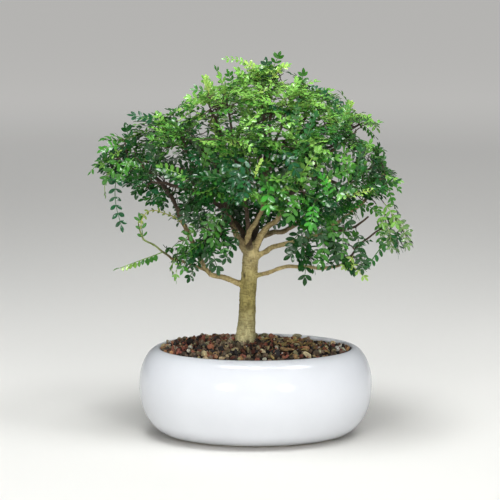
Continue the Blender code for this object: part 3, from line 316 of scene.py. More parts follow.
# Gaps that one can see through from the front: centre and half sizes of an oval, across and up, on the
# upright plane through the pot's middle, seen from EYE
EYE = Vector((-5.1, -1901.9, 455.6))
GAPS = [
    (-98.0, 277.5, 3.6, 2.7), (-66.0, 285.0, 3.6, 2.0), (-58.0, 289.5, 4.5, 2.0), (-50.0, 294.0, 4.1, 2.4), (-42.5, 293.0, 4.5, 3.3),
    (-46.0, 273.0, 5.4, 4.1), (-38.0, 320.0, 3.2, 3.6), (17.0, 302.5, 3.2, 2.2), (26.0, 303.5, 2.9, 2.0), (-71.0, 221.5, 3.6, 3.6),
    (-84.5, 225.5, 2.3, 4.1), (-76.5, 205.0, 4.5, 2.7), (-112.0, 217.5, 5.9, 6.4), (-104.0, 202.5, 7.7, 11.8), (-92.5, 186.0, 7.2, 8.2),
    (-76.5, 187.0, 9.0, 7.3), (-71.0, 177.0, 7.2, 6.4), (-57.0, 179.0, 5.4, 2.4), (-13.0, 185.5, 2.3, 5.0), (-12.0, 196.0, 2.3, 2.2),
    (14.5, 186.5, 2.7, 1.8), (33.5, 217.5, 4.0, 4.5), (31.5, 206.0, 4.5, 2.7), (25.0, 224.5, 1.8, 1.8), (58.5, 185.5, 3.2, 4.1),
    (43.0, 180.0, 3.6, 1.8), (72.0, 178.0, 1.8, 1.8), (84.0, 196.0, 8.1, 4.2), (101.0, 191.5, 5.4, 4.2), (98.5, 209.5, 4.5, 3.6),
    (105.0, 169.0, 7.6, 6.4), (84.5, 170.0, 2.3, 4.5), (94.5, 275.0, 8.1, 4.5), (102.5, 267.5, 5.4, 4.2), (89.0, 279.5, 5.4, 2.4),
    (101.0, 243.5, 3.6, 3.6), (99.0, 253.5, 2.3, 2.4), (70.5, 230.0, 2.7, 2.4), (-70.0, 244.5, 2.7, 1.5), (-59.5, 255.5, 2.7, 1.5),
    (-28.5, 162.5, 7.2, 3.6), (56.0, 152.0, 12.6, 3.6), (102.3, 269.5, 7.2, 5.4), (117.5, 257.9, 7.2, 8.1),
    (121.2, 245.4, 5.4, 4.5), (97.7, 295.3, 7.2, 5.4), (39.1, 323.6, 4.5, 3.6), (55, 323.6, 5.4, 3.6), (28.5, 322.7, 6.0, 6.4), (130.4, 216.8, 5.4, 5.4),
]

# Places where a limb shows between the leaves: the same, and the depth in front of which no leaf stands
CLEARINGS = [
    (-89.6, 239.2, 4.5, 4, -15), (-84.3, 232, 4.5, 4.5, -15), (-79, 224.8, 4.5, 4.5, -15), (-73.7, 217.7, 4.5, 4.5, -15),
    (-68.4, 210.5, 4.5, 4.5, -15), (-63.1, 202.4, 4.5, 4.5, -15), (-93.3, 222.1, 7.5, 9, -49),
]

# Stones lying on the soil: centre x, y, half sizes x, y, z
STONES = {
    "tan_stone": (38, 26, 6.0, 4.5, 4.0),
    "green_stone": (7.5, 20, 4.5, 4.0, 3.2),
    "bark_chip": (28, -38, 7.0, 2.2, 1.8),
}

# ---------------------------------------------------------------- helpers

def place(point):
    """A point of the tables, in mm from the pot's centre, as metres in the row's frame."""
    return (Vector(point) + PLANT_SHIFT) * MM


def unit(vector, fallback=UP):
    return vector.normalized() if vector.length > 1e-6 else fallback.copy()


def across(vector, normal):
    """The part of vector at right angles to normal."""
    return vector - normal * vector.dot(normal)


def smooth_rows(points, steps):
    """Catmull-Rom rows (x, y, z, radius) through the table's rows."""
    rows = [Vector(p) for p in points]
    out = []
    for i in range(len(rows) - 1):
        p0, p1, p2, p3 = rows[max(i - 1, 0)], rows[i], rows[i + 1], rows[min(i + 2, len(rows) - 1)]
        for k in range(steps):
            t = k / steps
            out.append(
                0.5 * ((2 * p1) + (p2 - p0) * t + (2 * p0 - 5 * p1 + 4 * p2 - p3) * t * t + (3 * p1 - p0 - 3 * p2 + p3) * t ** 3)
            )
    out.append(rows[-1])
    return out


def hermite(a, ta, b, tb, count):
    out = []
    for i in range(count + 1):
        t = i / count
        out.append(
            a * (2 * t ** 3 - 3 * t ** 2 + 1) + ta * (t ** 3 - 2 * t ** 2 + t) + b * (-2 * t ** 3 + 3 * t ** 2) + tb * (t ** 3 - t ** 2)
        )
    return out


class Shapes:
    """Collects small closed shapes for one mesh, with a tint, a place within the shape and a bake map on every corner."""

    def __init__(self):
        self.verts, self.faces, self.mats = [], [], []
        self.tint, self.within, self.bake = [], [], []
        self.count = 0
        self.cells = 0

    def add(self, verts, faces, mat, tint, within=None, bake=None):
        """verts (n, 3) in mm; faces as tuples; tint one colour or one for each corner; within and bake one pair for each corner."""
        base = self.count
        self.verts.append(np.asarray(verts, float))
        self.count += len(verts)
        corners = 0
        for face in faces:
            self.faces.append(tuple(base + i for i in face))
            corners += len(face)
        self.mats.append(np.full(len(faces), mat, np.int32))
        tint = np.asarray(tint, np.float32)
        self.tint.append(np.tile(tint, (corners, 1)) if tint.ndim == 1 else tint)
        self.within.append(np.zeros((corners, 2), np.float32) if within is None else np.asarray(within, np.float32))
        self.bake.append(np.full((corners, 3), -1, np.float32) if bake is None else np.asarray(bake, np.float32))

    def make(self, name, materials, sharp=60.0, extra=None):
        mesh = bpy.data.meshes.new(name)
        verts = (np.concatenate(self.verts) + np.array(PLANT_SHIFT)) * MM
        mesh.from_pydata(verts.tolist(), [], self.faces)
        mesh.polygons.foreach_set("material_index", np.concatenate(self.mats))
        tint = np.concatenate(self.tint)
        tint = np.concatenate([tint, np.ones((len(tint), 1), np.float32)], axis=1)
        layer = mesh.color_attributes.new("tint", "FLOAT_COLOR", "CORNER")
        layer.data.foreach_set("color", tint.reshape(-1))
        uv = mesh.uv_layers.new(name="within")
        uv.data.foreach_set("uv", np.concatenate(self.within).reshape(-1))
        if self.cells:
            side = math.ceil(math.sqrt(self.cells))
            bake = np.concatenate(self.bake)
            cell = np.maximum(bake[:, 0], 0)
            spot = np.stack([(cell % side + 0.06 + 0.88 * bake[:, 1]) / side, (cell // side + 0.06 + 0.88 * bake[:, 2]) / side], axis=1)
            layer = mesh.uv_layers.new(name="OFBake")
            layer.data.foreach_set("uv", spot.astype(np.float32).reshape(-1))
        mesh.uv_layers.active_index = 0
        mesh.shade_smooth()
        mesh.set_sharp_from_angle(angle=math.radians(sharp))
        mesh.validate()
        obj = bpy.data.objects.new(name, mesh)
        bpy.context.scene.collection.objects.link(obj)
        for mat in materials:
            mesh.materials.append(mat)
        return obj


def tube_rings(path, radii, sides, flat=1.0, side=None, rough=0.0, seed=0.0):
    """Rings of points round a path, for a tube with a closed point at each end."""
    centres = [Vector(p) for p in path]
    along = [
        unit(centres[min(i + 1, len(centres) - 1)] - centres[max(i - 1, 0)]) for i in range(len(centres))
    ]
    side = unit(across(side, along[0])) if side is not None else unit(along[0].orthogonal())
    rings = []
    for i, centre in enumerate(centres):
        side = unit(across(side, along[i]), side)
        other = along[i].cross(side)
        ring = []
        for k in range(sides):
            angle = 2 * math.pi * k / sides
            radius = radii[i]
            if rough:
                radius *= 1 + rough * noise.noise(Vector((centre.x * 0.3 + seed, centre.y * 0.3, centre.z * 0.3 + 3 * math.cos(angle))))
            ring.append(centre + side * math.cos(angle) * radius + other * math.sin(angle) * radius * flat)
        rings.append(ring)
    return centres, along, rings


def add_tube(shapes, path, radii, sides, mat, tint, flat=1.0, side=None, rough=0.0, seed=0.0, cell=None):
    centres, along, rings = tube_rings(path, radii, sides, flat, side, rough, seed)
    verts = [centres[0] - along[0] * radii[0] * 0.6]
    for ring in rings:
        verts.extend(ring)
    verts.append(centres[-1] + along[-1] * radii[-1] * 0.8)
    last = len(verts) - 1
    faces, marks = [], []
    n = len(rings)
    for i in range(n - 1):
        for k in range(sides):
            j = (k + 1) % sides
            faces.append((1 + i * sides + k, 1 + i * sides + j, 1 + (i + 1) * sides + j, 1 + (i + 1) * sides + k))
            u0, u1 = (i + 0.5) / n, (i + 1.5) / n
            v0, v1 = k / sides, (k + 1) / sides
            marks += [(u0, v0), (u0, v1), (u1, v1), (u1, v0)]
    for k in range(sides):
        j = (k + 1) % sides
        v0, v1 = k / sides, (k + 1) / sides
        faces.append((0, 1 + j, 1 + k))
        marks += [(0.0, (v0 + v1) / 2), (0.5 / n, v1), (0.5 / n, v0)]
        faces.append((last, 1 + (n - 1) * sides + k, 1 + (n - 1) * sides + j))
        marks += [(1.0, (v0 + v1) / 2), ((n - 0.5) / n, v0), ((n - 0.5) / n, v1)]
    bake = [(cell, u, v) for u, v in marks] if cell is not None else None
    shapes.add(verts, faces, mat, tint, within=marks, bake=bake)


# ---------------------------------------------------------------- materials

class Nodes:
    """Short ways to build a node tree round one Principled shader."""

    def __init__(self, name):
        self.mat = bpy.data.materials.new(name)
        self.mat.use_nodes = True
        self.tree = self.mat.node_tree
        self.shader = self.tree.nodes["Principled BSDF"]

    def add(self, kind, **settings):
        node = self.tree.nodes.new(kind)
        for key, value in settings.items():
            setattr(node, key, value)
        return node

    def link(self, a, b):
        self.tree.links.new(a, b)

    def fill(self, node, **values):
        for key, value in values.items():
            node.inputs[key.replace("_", " ")].default_value = value
        return node

    def place(self, scale=(1, 1, 1)):
        coords = self.add("ShaderNodeTexCoord")
        mapping = self.add("ShaderNodeMapping")
        mapping.inputs["Scale"].default_value = scale
        self.link(coords.outputs["Object"], mapping.inputs["Vector"])
        return mapping.outputs["Vector"]

    def noise(self, where, scale, detail=3.0, rough=0.55, distortion=0.0):
        node = self.add("ShaderNodeTexNoise")
        self.fill(node, Scale=scale, Detail=detail, Roughness=rough, Distortion=distortion)
        self.link(where, node.inputs["Vector"])
        return node.outputs["Fac"]

    def voronoi(self, where, scale, feature="F1"):
        node = self.add("ShaderNodeTexVoronoi", feature=feature)
        self.fill(node, Scale=scale)
        self.link(where, node.inputs["Vector"])
        return node

    def ramp(self, value, stops, interpolation="LINEAR"):
        node = self.add("ShaderNodeValToRGB")
        node.color_ramp.interpolation = interpolation
        elements = node.color_ramp.elements
        while len(elements) < len(stops):
            elements.new(0.5)
        for element, (position, colour) in zip(elements, stops):
            element.position = position
            element.color = (*colour, 1.0) if len(colour) == 3 else colour
        self.link(value, node.inputs["Fac"])
        return node.outputs["Color"]

    def range(self, value, low, high, to_low, to_high, smooth=False):
        node = self.add("ShaderNodeMapRange")
        if smooth:
            node.interpolation_type = "SMOOTHSTEP"
        self.fill(node, From_Min=low, From_Max=high, To_Min=to_low, To_Max=to_high)
        self.link(value, node.inputs["Value"])
        return node.outputs["Result"]

    def mix(self, factor, a, b, blend="MIX"):
        node = self.add("ShaderNodeMix", data_type="RGBA", blend_type=blend)
        for socket, value in ((node.inputs[0], factor), (node.inputs[6], a), (node.inputs[7], b)):
            if isinstance(value, bpy.types.NodeSocket):
                self.link(value, socket)
            elif isinstance(value, (int, float)):
                socket.default_value = value
            else:
                socket.default_value = (*value, 1.0)
        return node.outputs[2]

    def maths(self, operation, a, b=0.0):
        node = self.add("ShaderNodeMath", operation=operation)
        for socket, value in ((node.inputs[0], a), (node.inputs[1], b)):
            if isinstance(value, bpy.types.NodeSocket):
                self.link(value, socket)
            else:
                socket.default_value = value
        return node.outputs[0]

    def attribute(self, name):
        node = self.add("ShaderNodeAttribute", attribute_name=name)
        return node.outputs["Color"]

    def colour(self, value):
        self.link(value, self.shader.inputs["Base Color"])

    def roughness(self, value):
        self.link(value, self.shader.inputs["Roughness"])

    def bump(self, height, strength, distance):
        node = self.add("ShaderNodeBump")
        self.fill(node, Strength=strength, Distance=distance)
        self.link(height, node.inputs["Height"])
        self.link(node.outputs["Normal"], self.shader.inputs["Normal"])

    def set(self, **values):
        for key, value in values.items():
            self.shader.inputs[key.replace("_", " ")].default_value = value


def glaze_material():
    """White glaze: cool white with a faint mottle, thinner and warmer at the foot, where the clay shows."""
    n = Nodes("white_glaze")
    where = n.place()
    cloud = n.noise(where, 26.0, 4.0)
    glaze = n.ramp(cloud, [(0.30, (0.715, 0.732, 0.772)), (0.70, (0.745, 0.762, 0.802))])
    specks = n.voronoi(where, 420.0).outputs["Distance"]
    glaze = n.mix(n.range(specks, 0.03, 0.07, 0.10, 0.0), glaze, (0.55, 0.53, 0.50))
    clay = n.ramp(n.noise(where, 900.0, 3.0), [(0.3, (0.62, 0.57, 0.50)), (0.7, (0.74, 0.70, 0.63))])
    split = n.add("ShaderNodeSeparateXYZ")
    n.link(where, split.inputs[0])
    height = n.maths("ADD", split.outputs["Z"], n.range(cloud, 0.3, 0.7, -0.0004, 0.0004))
    foot = n.range(height, 0.0012, 0.0022, 1.0, 0.0, smooth=True)
    n.colour(n.mix(foot, glaze, clay))
    n.roughness(n.maths("ADD", n.range(n.noise(where, 60.0, 2.0), 0.3, 0.7, 0.10, 0.17), n.maths("MULTIPLY", foot, 0.6)))
    n.bump(n.noise(where, 70.0, 2.0), 0.10, 0.0006)
    n.set(Specular_IOR_Level=0.5)
    return n.mat


def bark_material():
    """Smooth bark: a tint from the branch's age, in part painted shade on limbs in the crown and in creases and painted
    light at the top of the trunk, fine upright streaks, pale breathing pores, rings of old leaf scars.
    """
    n = Nodes("bark")
    tint = n.attribute("tint")
    fine = n.place((1.0, 1.0, 0.35))
    flat = n.place((0.45, 0.45, 1.6))
    even = n.place()
    streak = n.noise(fine, 420.0, 5.0, 0.62, 0.4)
    patch = n.noise(even, 85.0, 4.0, 0.6)
    ring = n.noise(flat, 520.0, 3.0, 0.5)
    colour = n.mix(n.range(streak, 0.42, 0.62, 0.0, 0.85), tint, n.mix(1.0, tint, (0.46, 0.43, 0.36), "MULTIPLY"))
    colour = n.mix(n.range(patch, 0.46, 0.66, 0.0, 0.75), colour, n.mix(1.0, tint, (1.34, 1.34, 1.36), "MULTIPLY"))
    colour = n.mix(n.range(ring, 0.50, 0.64, 0.0, 0.70), colour, n.mix(1.0, tint, (0.52, 0.46, 0.36), "MULTIPLY"))
    pores = n.voronoi(flat, 360.0).outputs["Distance"]
    colour = n.mix(n.range(pores, 0.06, 0.13, 0.55, 0.0), colour, n.mix(1.0, tint, (1.5, 1.45, 1.35), "MULTIPLY"))
    n.colour(colour)
    n.roughness(n.range(streak, 0.3, 0.7, 0.66, 0.9))
    height = n.maths("ADD", n.maths("MULTIPLY", streak, 0.7), n.maths("MULTIPLY", ring, 0.6))
    n.bump(height, 0.85, 0.0010)
    return n.mat


def twig_material():
    n = Nodes("twig_bark")
    tint = n.attribute("tint")
    where = n.place()
    grain = n.noise(where, 900.0, 3.0)
    colour = n.mix(n.range(grain, 0.35, 0.68, 0.0, 0.6), tint, n.mix(1.0, tint, (0.5, 0.45, 0.4), "MULTIPLY"))
    n.colour(colour)
    n.roughness(n.range(grain, 0.3, 0.7, 0.6, 0.85))
    return n.mat


def leaf_material(name):
    """A glossy leaflet: its own tint, a paler midrib and side veins, a mottle, and a lighter rim."""
    n = Nodes(name)
    tint = n.attribute("tint")
    spot = n.add("ShaderNodeUVMap", uv_map="within")
    split = n.add("ShaderNodeSeparateXYZ")
    n.link(spot.outputs["UV"], split.inputs[0])
    along, across_ = split.outputs["X"], n.maths("ABSOLUTE", n.maths("SUBTRACT", split.outputs["Y"], 0.5))
    where = n.place()
    mottle = n.noise(where, 320.0, 3.0)
    colour = n.mix(n.range(mottle, 0.35, 0.65, 0.0, 0.45), tint, n.mix(1.0, tint, (0.62, 0.70, 0.62), "MULTIPLY"))
    rib = n.range(across_, 0.03, 0.09, 0.55, 0.0, smooth=True)
    colour = n.mix(rib, colour, n.mix(1.0, tint, (2.1, 1.7, 1.5), "MULTIPLY"))
    slant = n.maths("SUBTRACT", n.maths("MULTIPLY", along, 46.0), n.maths("MULTIPLY", across_, 34.0))
    vein = n.range(n.maths("SINE", slant), 0.80, 1.0, 0.0, 0.22)
    colour = n.mix(vein, colour, n.mix(1.0, tint, (1.6, 1.45, 1.3), "MULTIPLY"))
    rim = n.range(across_, 0.40, 0.5, 0.0, 0.28, smooth=True)
    colour = n.mix(rim, colour, n.mix(1.0, tint, (1.5, 1.35, 1.1), "MULTIPLY"))
    n.colour(colour)
    n.roughness(n.range(mottle, 0.3, 0.7, 0.15, 0.28))
    n.set(Specular_IOR_Level=0.52)
    return n.mat


def soil_material():
    """The bed under the grains: dark, damp and crumbly."""
    n = Nodes("soil_mix")
    where = n.place()
    lumps = n.voronoi(where, 420.0)
    grain = n.noise(where, 700.0, 4.0)
    colour = n.ramp(grain, [(0.30, (0.012, 0.007, 0.006)), (0.55, (0.035, 0.018, 0.013)), (0.75, (0.075, 0.035, 0.022))])
    colour = n.mix(n.range(lumps.outputs["Distance"], 0.2, 0.6, 0.0, 0.6), colour, (0.008, 0.005, 0.005))
    n.colour(colour)
    n.roughness(n.range(grain, 0.3, 0.7, 0.8, 0.97))
    n.bump(lumps.outputs["Distance"], 0.8, 0.0015)
    return n.mat


def grain_material(name, scale=1.0):
    """Broken lava and pumice: its own tint, with dust, and pits darkened with painted shade."""
    n = Nodes(name)
    tint = n.attribute("tint")
    where = n.place()
    grain = n.noise(where, 900.0 * scale, 4.0, 0.65)
    pits = n.voronoi(where, 1500.0 * scale).outputs["Distance"]
    colour = n.mix(n.range(grain, 0.35, 0.7, 0.0, 0.75), tint, n.mix(1.0, tint, (0.42, 0.40, 0.40), "MULTIPLY"))
    colour = n.mix(n.range(grain, 0.52, 0.30, 0.0, 0.40), colour, n.mix(1.0, tint, (1.75, 1.65, 1.55), "MULTIPLY"))
    # painted shade: the pits go nearly black
    colour = n.mix(n.range(pits, 0.05, 0.22, 0.6, 0.0), colour, (0.010, 0.006, 0.005))
    n.colour(colour)
    n.roughness(n.range(grain, 0.3, 0.7, 0.82, 0.98))
    n.bump(n.maths("ADD", n.maths("MULTIPLY", grain, 0.8), n.range(pits, 0.0, 0.3, 0.0, 0.6)), 0.8, 0.0006)
    return n.mat


def screen_material():
    n = Nodes("screen_plastic")
    where = n.place()
    grain = n.noise(where, 1400.0, 3.0)
    n.colour(n.ramp(grain, [(0.3, (0.020, 0.024, 0.020)), (0.7, (0.045, 0.05, 0.042))]))
    n.roughness(n.range(grain, 0.3, 0.7, 0.45, 0.62))
    n.bump(grain, 0.2, 0.0002)
    return n.mat


# ---------------------------------------------------------------- pot

def belly_inset(z, depth, inset):
    t = min(1.0, (BELLY_Z - z) / depth)
    return inset * (1 - (1 - t ** BELLY_POWER) ** (1 / BELLY_POWER))


def shoulder_inset(z, inset):
    t = min(1.0, (z - BELLY_Z) / (CREST_Z - BELLY_Z))
    return inset * (1 - (1 - t ** SHOULDER_POWER) ** (1 / SHOULDER_POWER))


def inner_inset(z):
    if z < BELLY_Z:
        return WALL + belly_inset(z, BELLY_Z - FLOOR, FOOT_INSET)
    return WALL + shoulder_inset(BELLY_Z + 0.92 * (z - BELLY_Z), CREST_INSET)


def pot_profile():
    """(inset, z) from the recess under the pot, out over the foot, belly and lip, and down the inside to the floor."""
    rows = [(FOOT_INSET + FOOT_WIDTH + 1.6, FOOT_RECESS), (FOOT_INSET + FOOT_WIDTH + 0.9, FOOT_RECESS - 0.5), (FOOT_INSET + FOOT_WIDTH + 0.25, 0.25), (FOOT_INSET + FOOT_WIDTH - 0.6, 0.0), (FOOT_INSET + 0.6, 0.0)]
    for k in range(1, 25):
        z = BELLY_Z * (1 - math.cos(math.pi / 2 * k / 24))
        rows.append((belly_inset(z, BELLY_Z, FOOT_INSET), z))
    for k in range(1, 25):
        z = BELLY_Z + (CREST_Z - BELLY_Z) * math.sin(math.pi / 2 * k / 24)
        rows.append((shoulder_inset(z, CREST_INSET), z))
    for k in range(1, 15):
        angle = math.pi * k / 14
        rows.append((CREST_INSET + LIP_RADIUS * math.sin(angle), CREST_Z - LIP_RADIUS * (1 - math.cos(angle))))
    for z in (73.0, 70.0, 66.0, 61.5, 57.0, 52.0, 47.7, 41.0, 34.0, 28.0, 22.0, 17.5, 14.0, 11.5, 10.0, 8.8, FLOOR):
        rows.append((inner_inset(z), z))
    return rows


def build_pot(material, sides=160):
    rows = pot_profile()
    verts, faces = [], []
    for inset, z in rows:
        a, b = POT_LENGTH / 2 - inset, POT_DEPTH / 2 - inset
        for k in range(sides):
            angle = 2 * math.pi * k / sides
            # a hand-glazed wall isn't perfectly even
            wave = 0.10 * noise.noise(Vector((2 * math.cos(angle), 2 * math.sin(angle), z * 0.03)))
            if z < 3 or inset > 40:
                wave = 0.0
            verts.append(((a + wave) * math.cos(angle), (b + wave) * math.sin(angle), z))
    for i in range(len(rows) - 1):
        for k in range(sides):
            j = (k + 1) % sides
            faces.append((i * sides + k, i * sides + j, (i + 1) * sides + j, (i + 1) * sides + k))
    # underside and floor: rings in to the middle, so that the drain holes cut through small faces
    for first, inset0, z, up in ((0, rows[0][0], rows[0][1], False), ((len(rows) - 1) * sides, rows[-1][0], rows[-1][1], True)):
        previous = first
        for step in range(1, 7):
            share = 1 - step / 7
            start = len(verts)
            a, b = (POT_LENGTH / 2 - inset0) * share, (POT_DEPTH / 2 - inset0) * share
            for k in range(sides):
                angle = 2 * math.pi * k / sides
                verts.append((a * math.cos(angle), b * math.sin(angle), z))
            for k in range(sides):
                j = (k + 1) % sides
                quad = (previous + k, previous + j, start + j, start + k)
                faces.append(quad if up else quad[::-1])
            previous = start
        ring = tuple(range(previous, previous + sides))
        faces.append(ring if up else ring[::-1])
    mesh = bpy.data.meshes.new("glazed_pot")
    mesh.from_pydata([place(v) for v in verts], [], faces)
    obj = bpy.data.objects.new("glazed_pot", mesh)
    bpy.context.scene.collection.objects.link(obj)
    cutters = []
    for x in (-DRAIN_X, DRAIN_X):
        bm = bmesh.new()
        bmesh.ops.create_cone(bm, cap_ends=True, segments=40, radius1=DRAIN_RADIUS * MM, radius2=DRAIN_RADIUS * MM, depth=(FLOOR + 8) * MM, matrix=Matrix.Translation(place((x, 0, FLOOR / 2))))
        cutter_mesh = bpy.data.meshes.new("drain_cutter")
        bm.to_mesh(cutter_mesh)
        bm.free()
        cutter = bpy.data.objects.new("drain_cutter", cutter_mesh)
        bpy.context.scene.collection.objects.link(cutter)
        modifier = obj.modifiers.new("drain", "BOOLEAN")
        modifier.operation, modifier.solver, modifier.object = "DIFFERENCE", "EXACT", cutter
        cutters.append(cutter)
    apply_modifiers(obj)
    for cutter in cutters:
        bpy.data.objects.remove(cutter)
    obj.data.shade_smooth()
    obj.data.set_sharp_from_angle(angle=math.radians(38))
    obj.data.materials.clear()
    obj.data.materials.append(material)
    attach(obj, "root")
    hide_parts("pot")
    return obj


def apply_modifiers(obj):
    graph = bpy.context.evaluated_depsgraph_get()
    mesh = bpy.data.meshes.new_from_object(obj.evaluated_get(graph))
    old = obj.data
    obj.modifiers.clear()
    obj.data = mesh
    bpy.data.meshes.remove(old)


# ---------------------------------------------------------------- soil

def sunk(x, y):
    """How far the loose soil lies under the round of the mound: it has settled along the back."""
    back = min(1.0, max(0.0, (y - 4) / 26))
    return 2.9 * back * back * (3 - 2 * back) * (1.0 if x > 0 else 0.85)


def soil_height(x, y):
    a = POT_LENGTH / 2 - CREST_INSET
    b = POT_DEPTH / 2 - CREST_INSET
    r = min(1.0, math.hypot(x / a, y / b))
    z = SOIL_EDGE_Z + SOIL_MOUND * (1 - r * r) ** 0.9
    z += 1.6 * (1 - r) * noise.noise(Vector((x * 0.05, y * 0.05, 3.1)))
    z += 3.4 * math.exp(-(((x + 52) / 28) ** 2 + ((y - 26) / 20) ** 2))
    z -= 2.4 * math.exp(-(((x - 62) / 26) ** 2 + ((y - 26) / 22) ** 2))
    return z


def bed_height(x, y):
    return soil_height(x, y) - sunk(x, y)


def build_bed():
    """The bed that the loose grains lie on: crumbly, closed below, out of sight down the wall of the pot."""
    bed = Shapes()
    sides, rounds = 120, 44
    a, b = POT_LENGTH / 2 - SOIL_EDGE_INSET + 0.6, POT_DEPTH / 2 - SOIL_EDGE_INSET + 0.6
    verts, faces = [(0.0, 0.0, bed_height(0, 0))], []
    for ring in range(1, rounds + 1):
        share = ring / rounds
        for i in range(sides):
            angle = 2 * math.pi * i / sides
            x, y = a * share * math.cos(angle), b * share * math.sin(angle)
            lump = 0.9 * noise.noise(Vector((x * 0.35, y * 0.35, 1.0))) + 0.5 * noise.noise(Vector((x * 0.9, y * 0.9, 5.0)))
            verts.append((x, y, bed_height(x, y) + lump * (1 - share ** 8)))
    for share, z in ((0.995, 70.0), (0.9, 62.0)):
        for i in range(sides):
            angle = 2 * math.pi * i / sides
            verts.append((a * share * math.cos(angle), b * share * math.sin(angle), z))
    verts.append((0.0, 0.0, 62.0))
    for i in range(sides):
        j = (i + 1) % sides
        faces.append((0, 1 + i, 1 + j))
        for ring in range(rounds + 1):
            low, up = 1 + ring * sides, 1 + (ring + 1) * sides
            faces.append((low + i, up + i, up + j, low + j))
        last = 1 + (rounds + 1) * sides
        faces.append((last + i, len(verts) - 1, last + j))
    bed.add(verts, faces, 0, (0.03, 0.016, 0.012))
    obj = bed.make("soil_bed", [soil_material()], sharp=60.0)
    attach(obj, "root")
    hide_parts("soil")


def ball(divisions):
    bm = bmesh.new()
    bmesh.ops.create_icosphere(bm, subdivisions=divisions, radius=1.0)
    verts = np.array([v.co[:] for v in bm.verts])
    faces = [tuple(v.index for v in f.verts) for f in bm.faces]
    bm.free()
    return verts, faces


def broken_stone(verts, rng, cuts, rough):
    """A ball with flats struck off it, like crushed lava."""
    out = verts.copy()
    for _ in range(cuts):
        normal = rng.normal(size=3)
        normal /= np.linalg.norm(normal)
        height = rng.uniform(0.40, 0.80)
        beyond = np.maximum(out @ normal - height, 0.0)
        out = out - beyond[:, None] * normal
    out *= 1 + rng.normal(scale=rough, size=(len(out), 1))
    return out


def random_turn(rng, tilt=None):
    if tilt is None:
        q = rng.normal(size=4)
        q /= np.linalg.norm(q)
        return np.array(Quaternion(q).to_matrix())
    turn = Matrix.Rotation(rng.uniform(0, 2 * math.pi), 3, "Z") @ Matrix.Rotation(rng.normal() * tilt, 3, "X") @ Matrix.Rotation(rng.normal() * tilt, 3, "Y")
    return np.array(turn)


GRAIN_COLOURS = [
    (0.21, (0.225, 0.078, 0.052), 0.50),  # dark red lava
    (0.07, (0.345, 0.130, 0.070), 0.35),  # brighter red lava
    (0.26, (0.170, 0.120, 0.080), 0.50),  # dark brown
    (0.19, (0.044, 0.037, 0.034), 0.40),  # nearly black
    (0.06, (0.360, 0.205, 0.095), 0.30),  # orange-brown
    (0.05, (0.600, 0.480, 0.290), 0.25),  # tan pumice
    (0.025, (0.780, 0.640, 0.520), 0.15),  # pale pumice
    (0.135, (0.300, 0.255, 0.140), 0.40),  # olive-brown
]


def grain_tint(rng):
    roll = rng.random()
    for share, colour, spread in GRAIN_COLOURS:
        if roll < share:
            break
        roll -= share
    return np.clip(np.array(colour) * (1 + spread * rng.normal()) * (1 + 0.05 * rng.normal(size=3)), 0.008, 0.6)


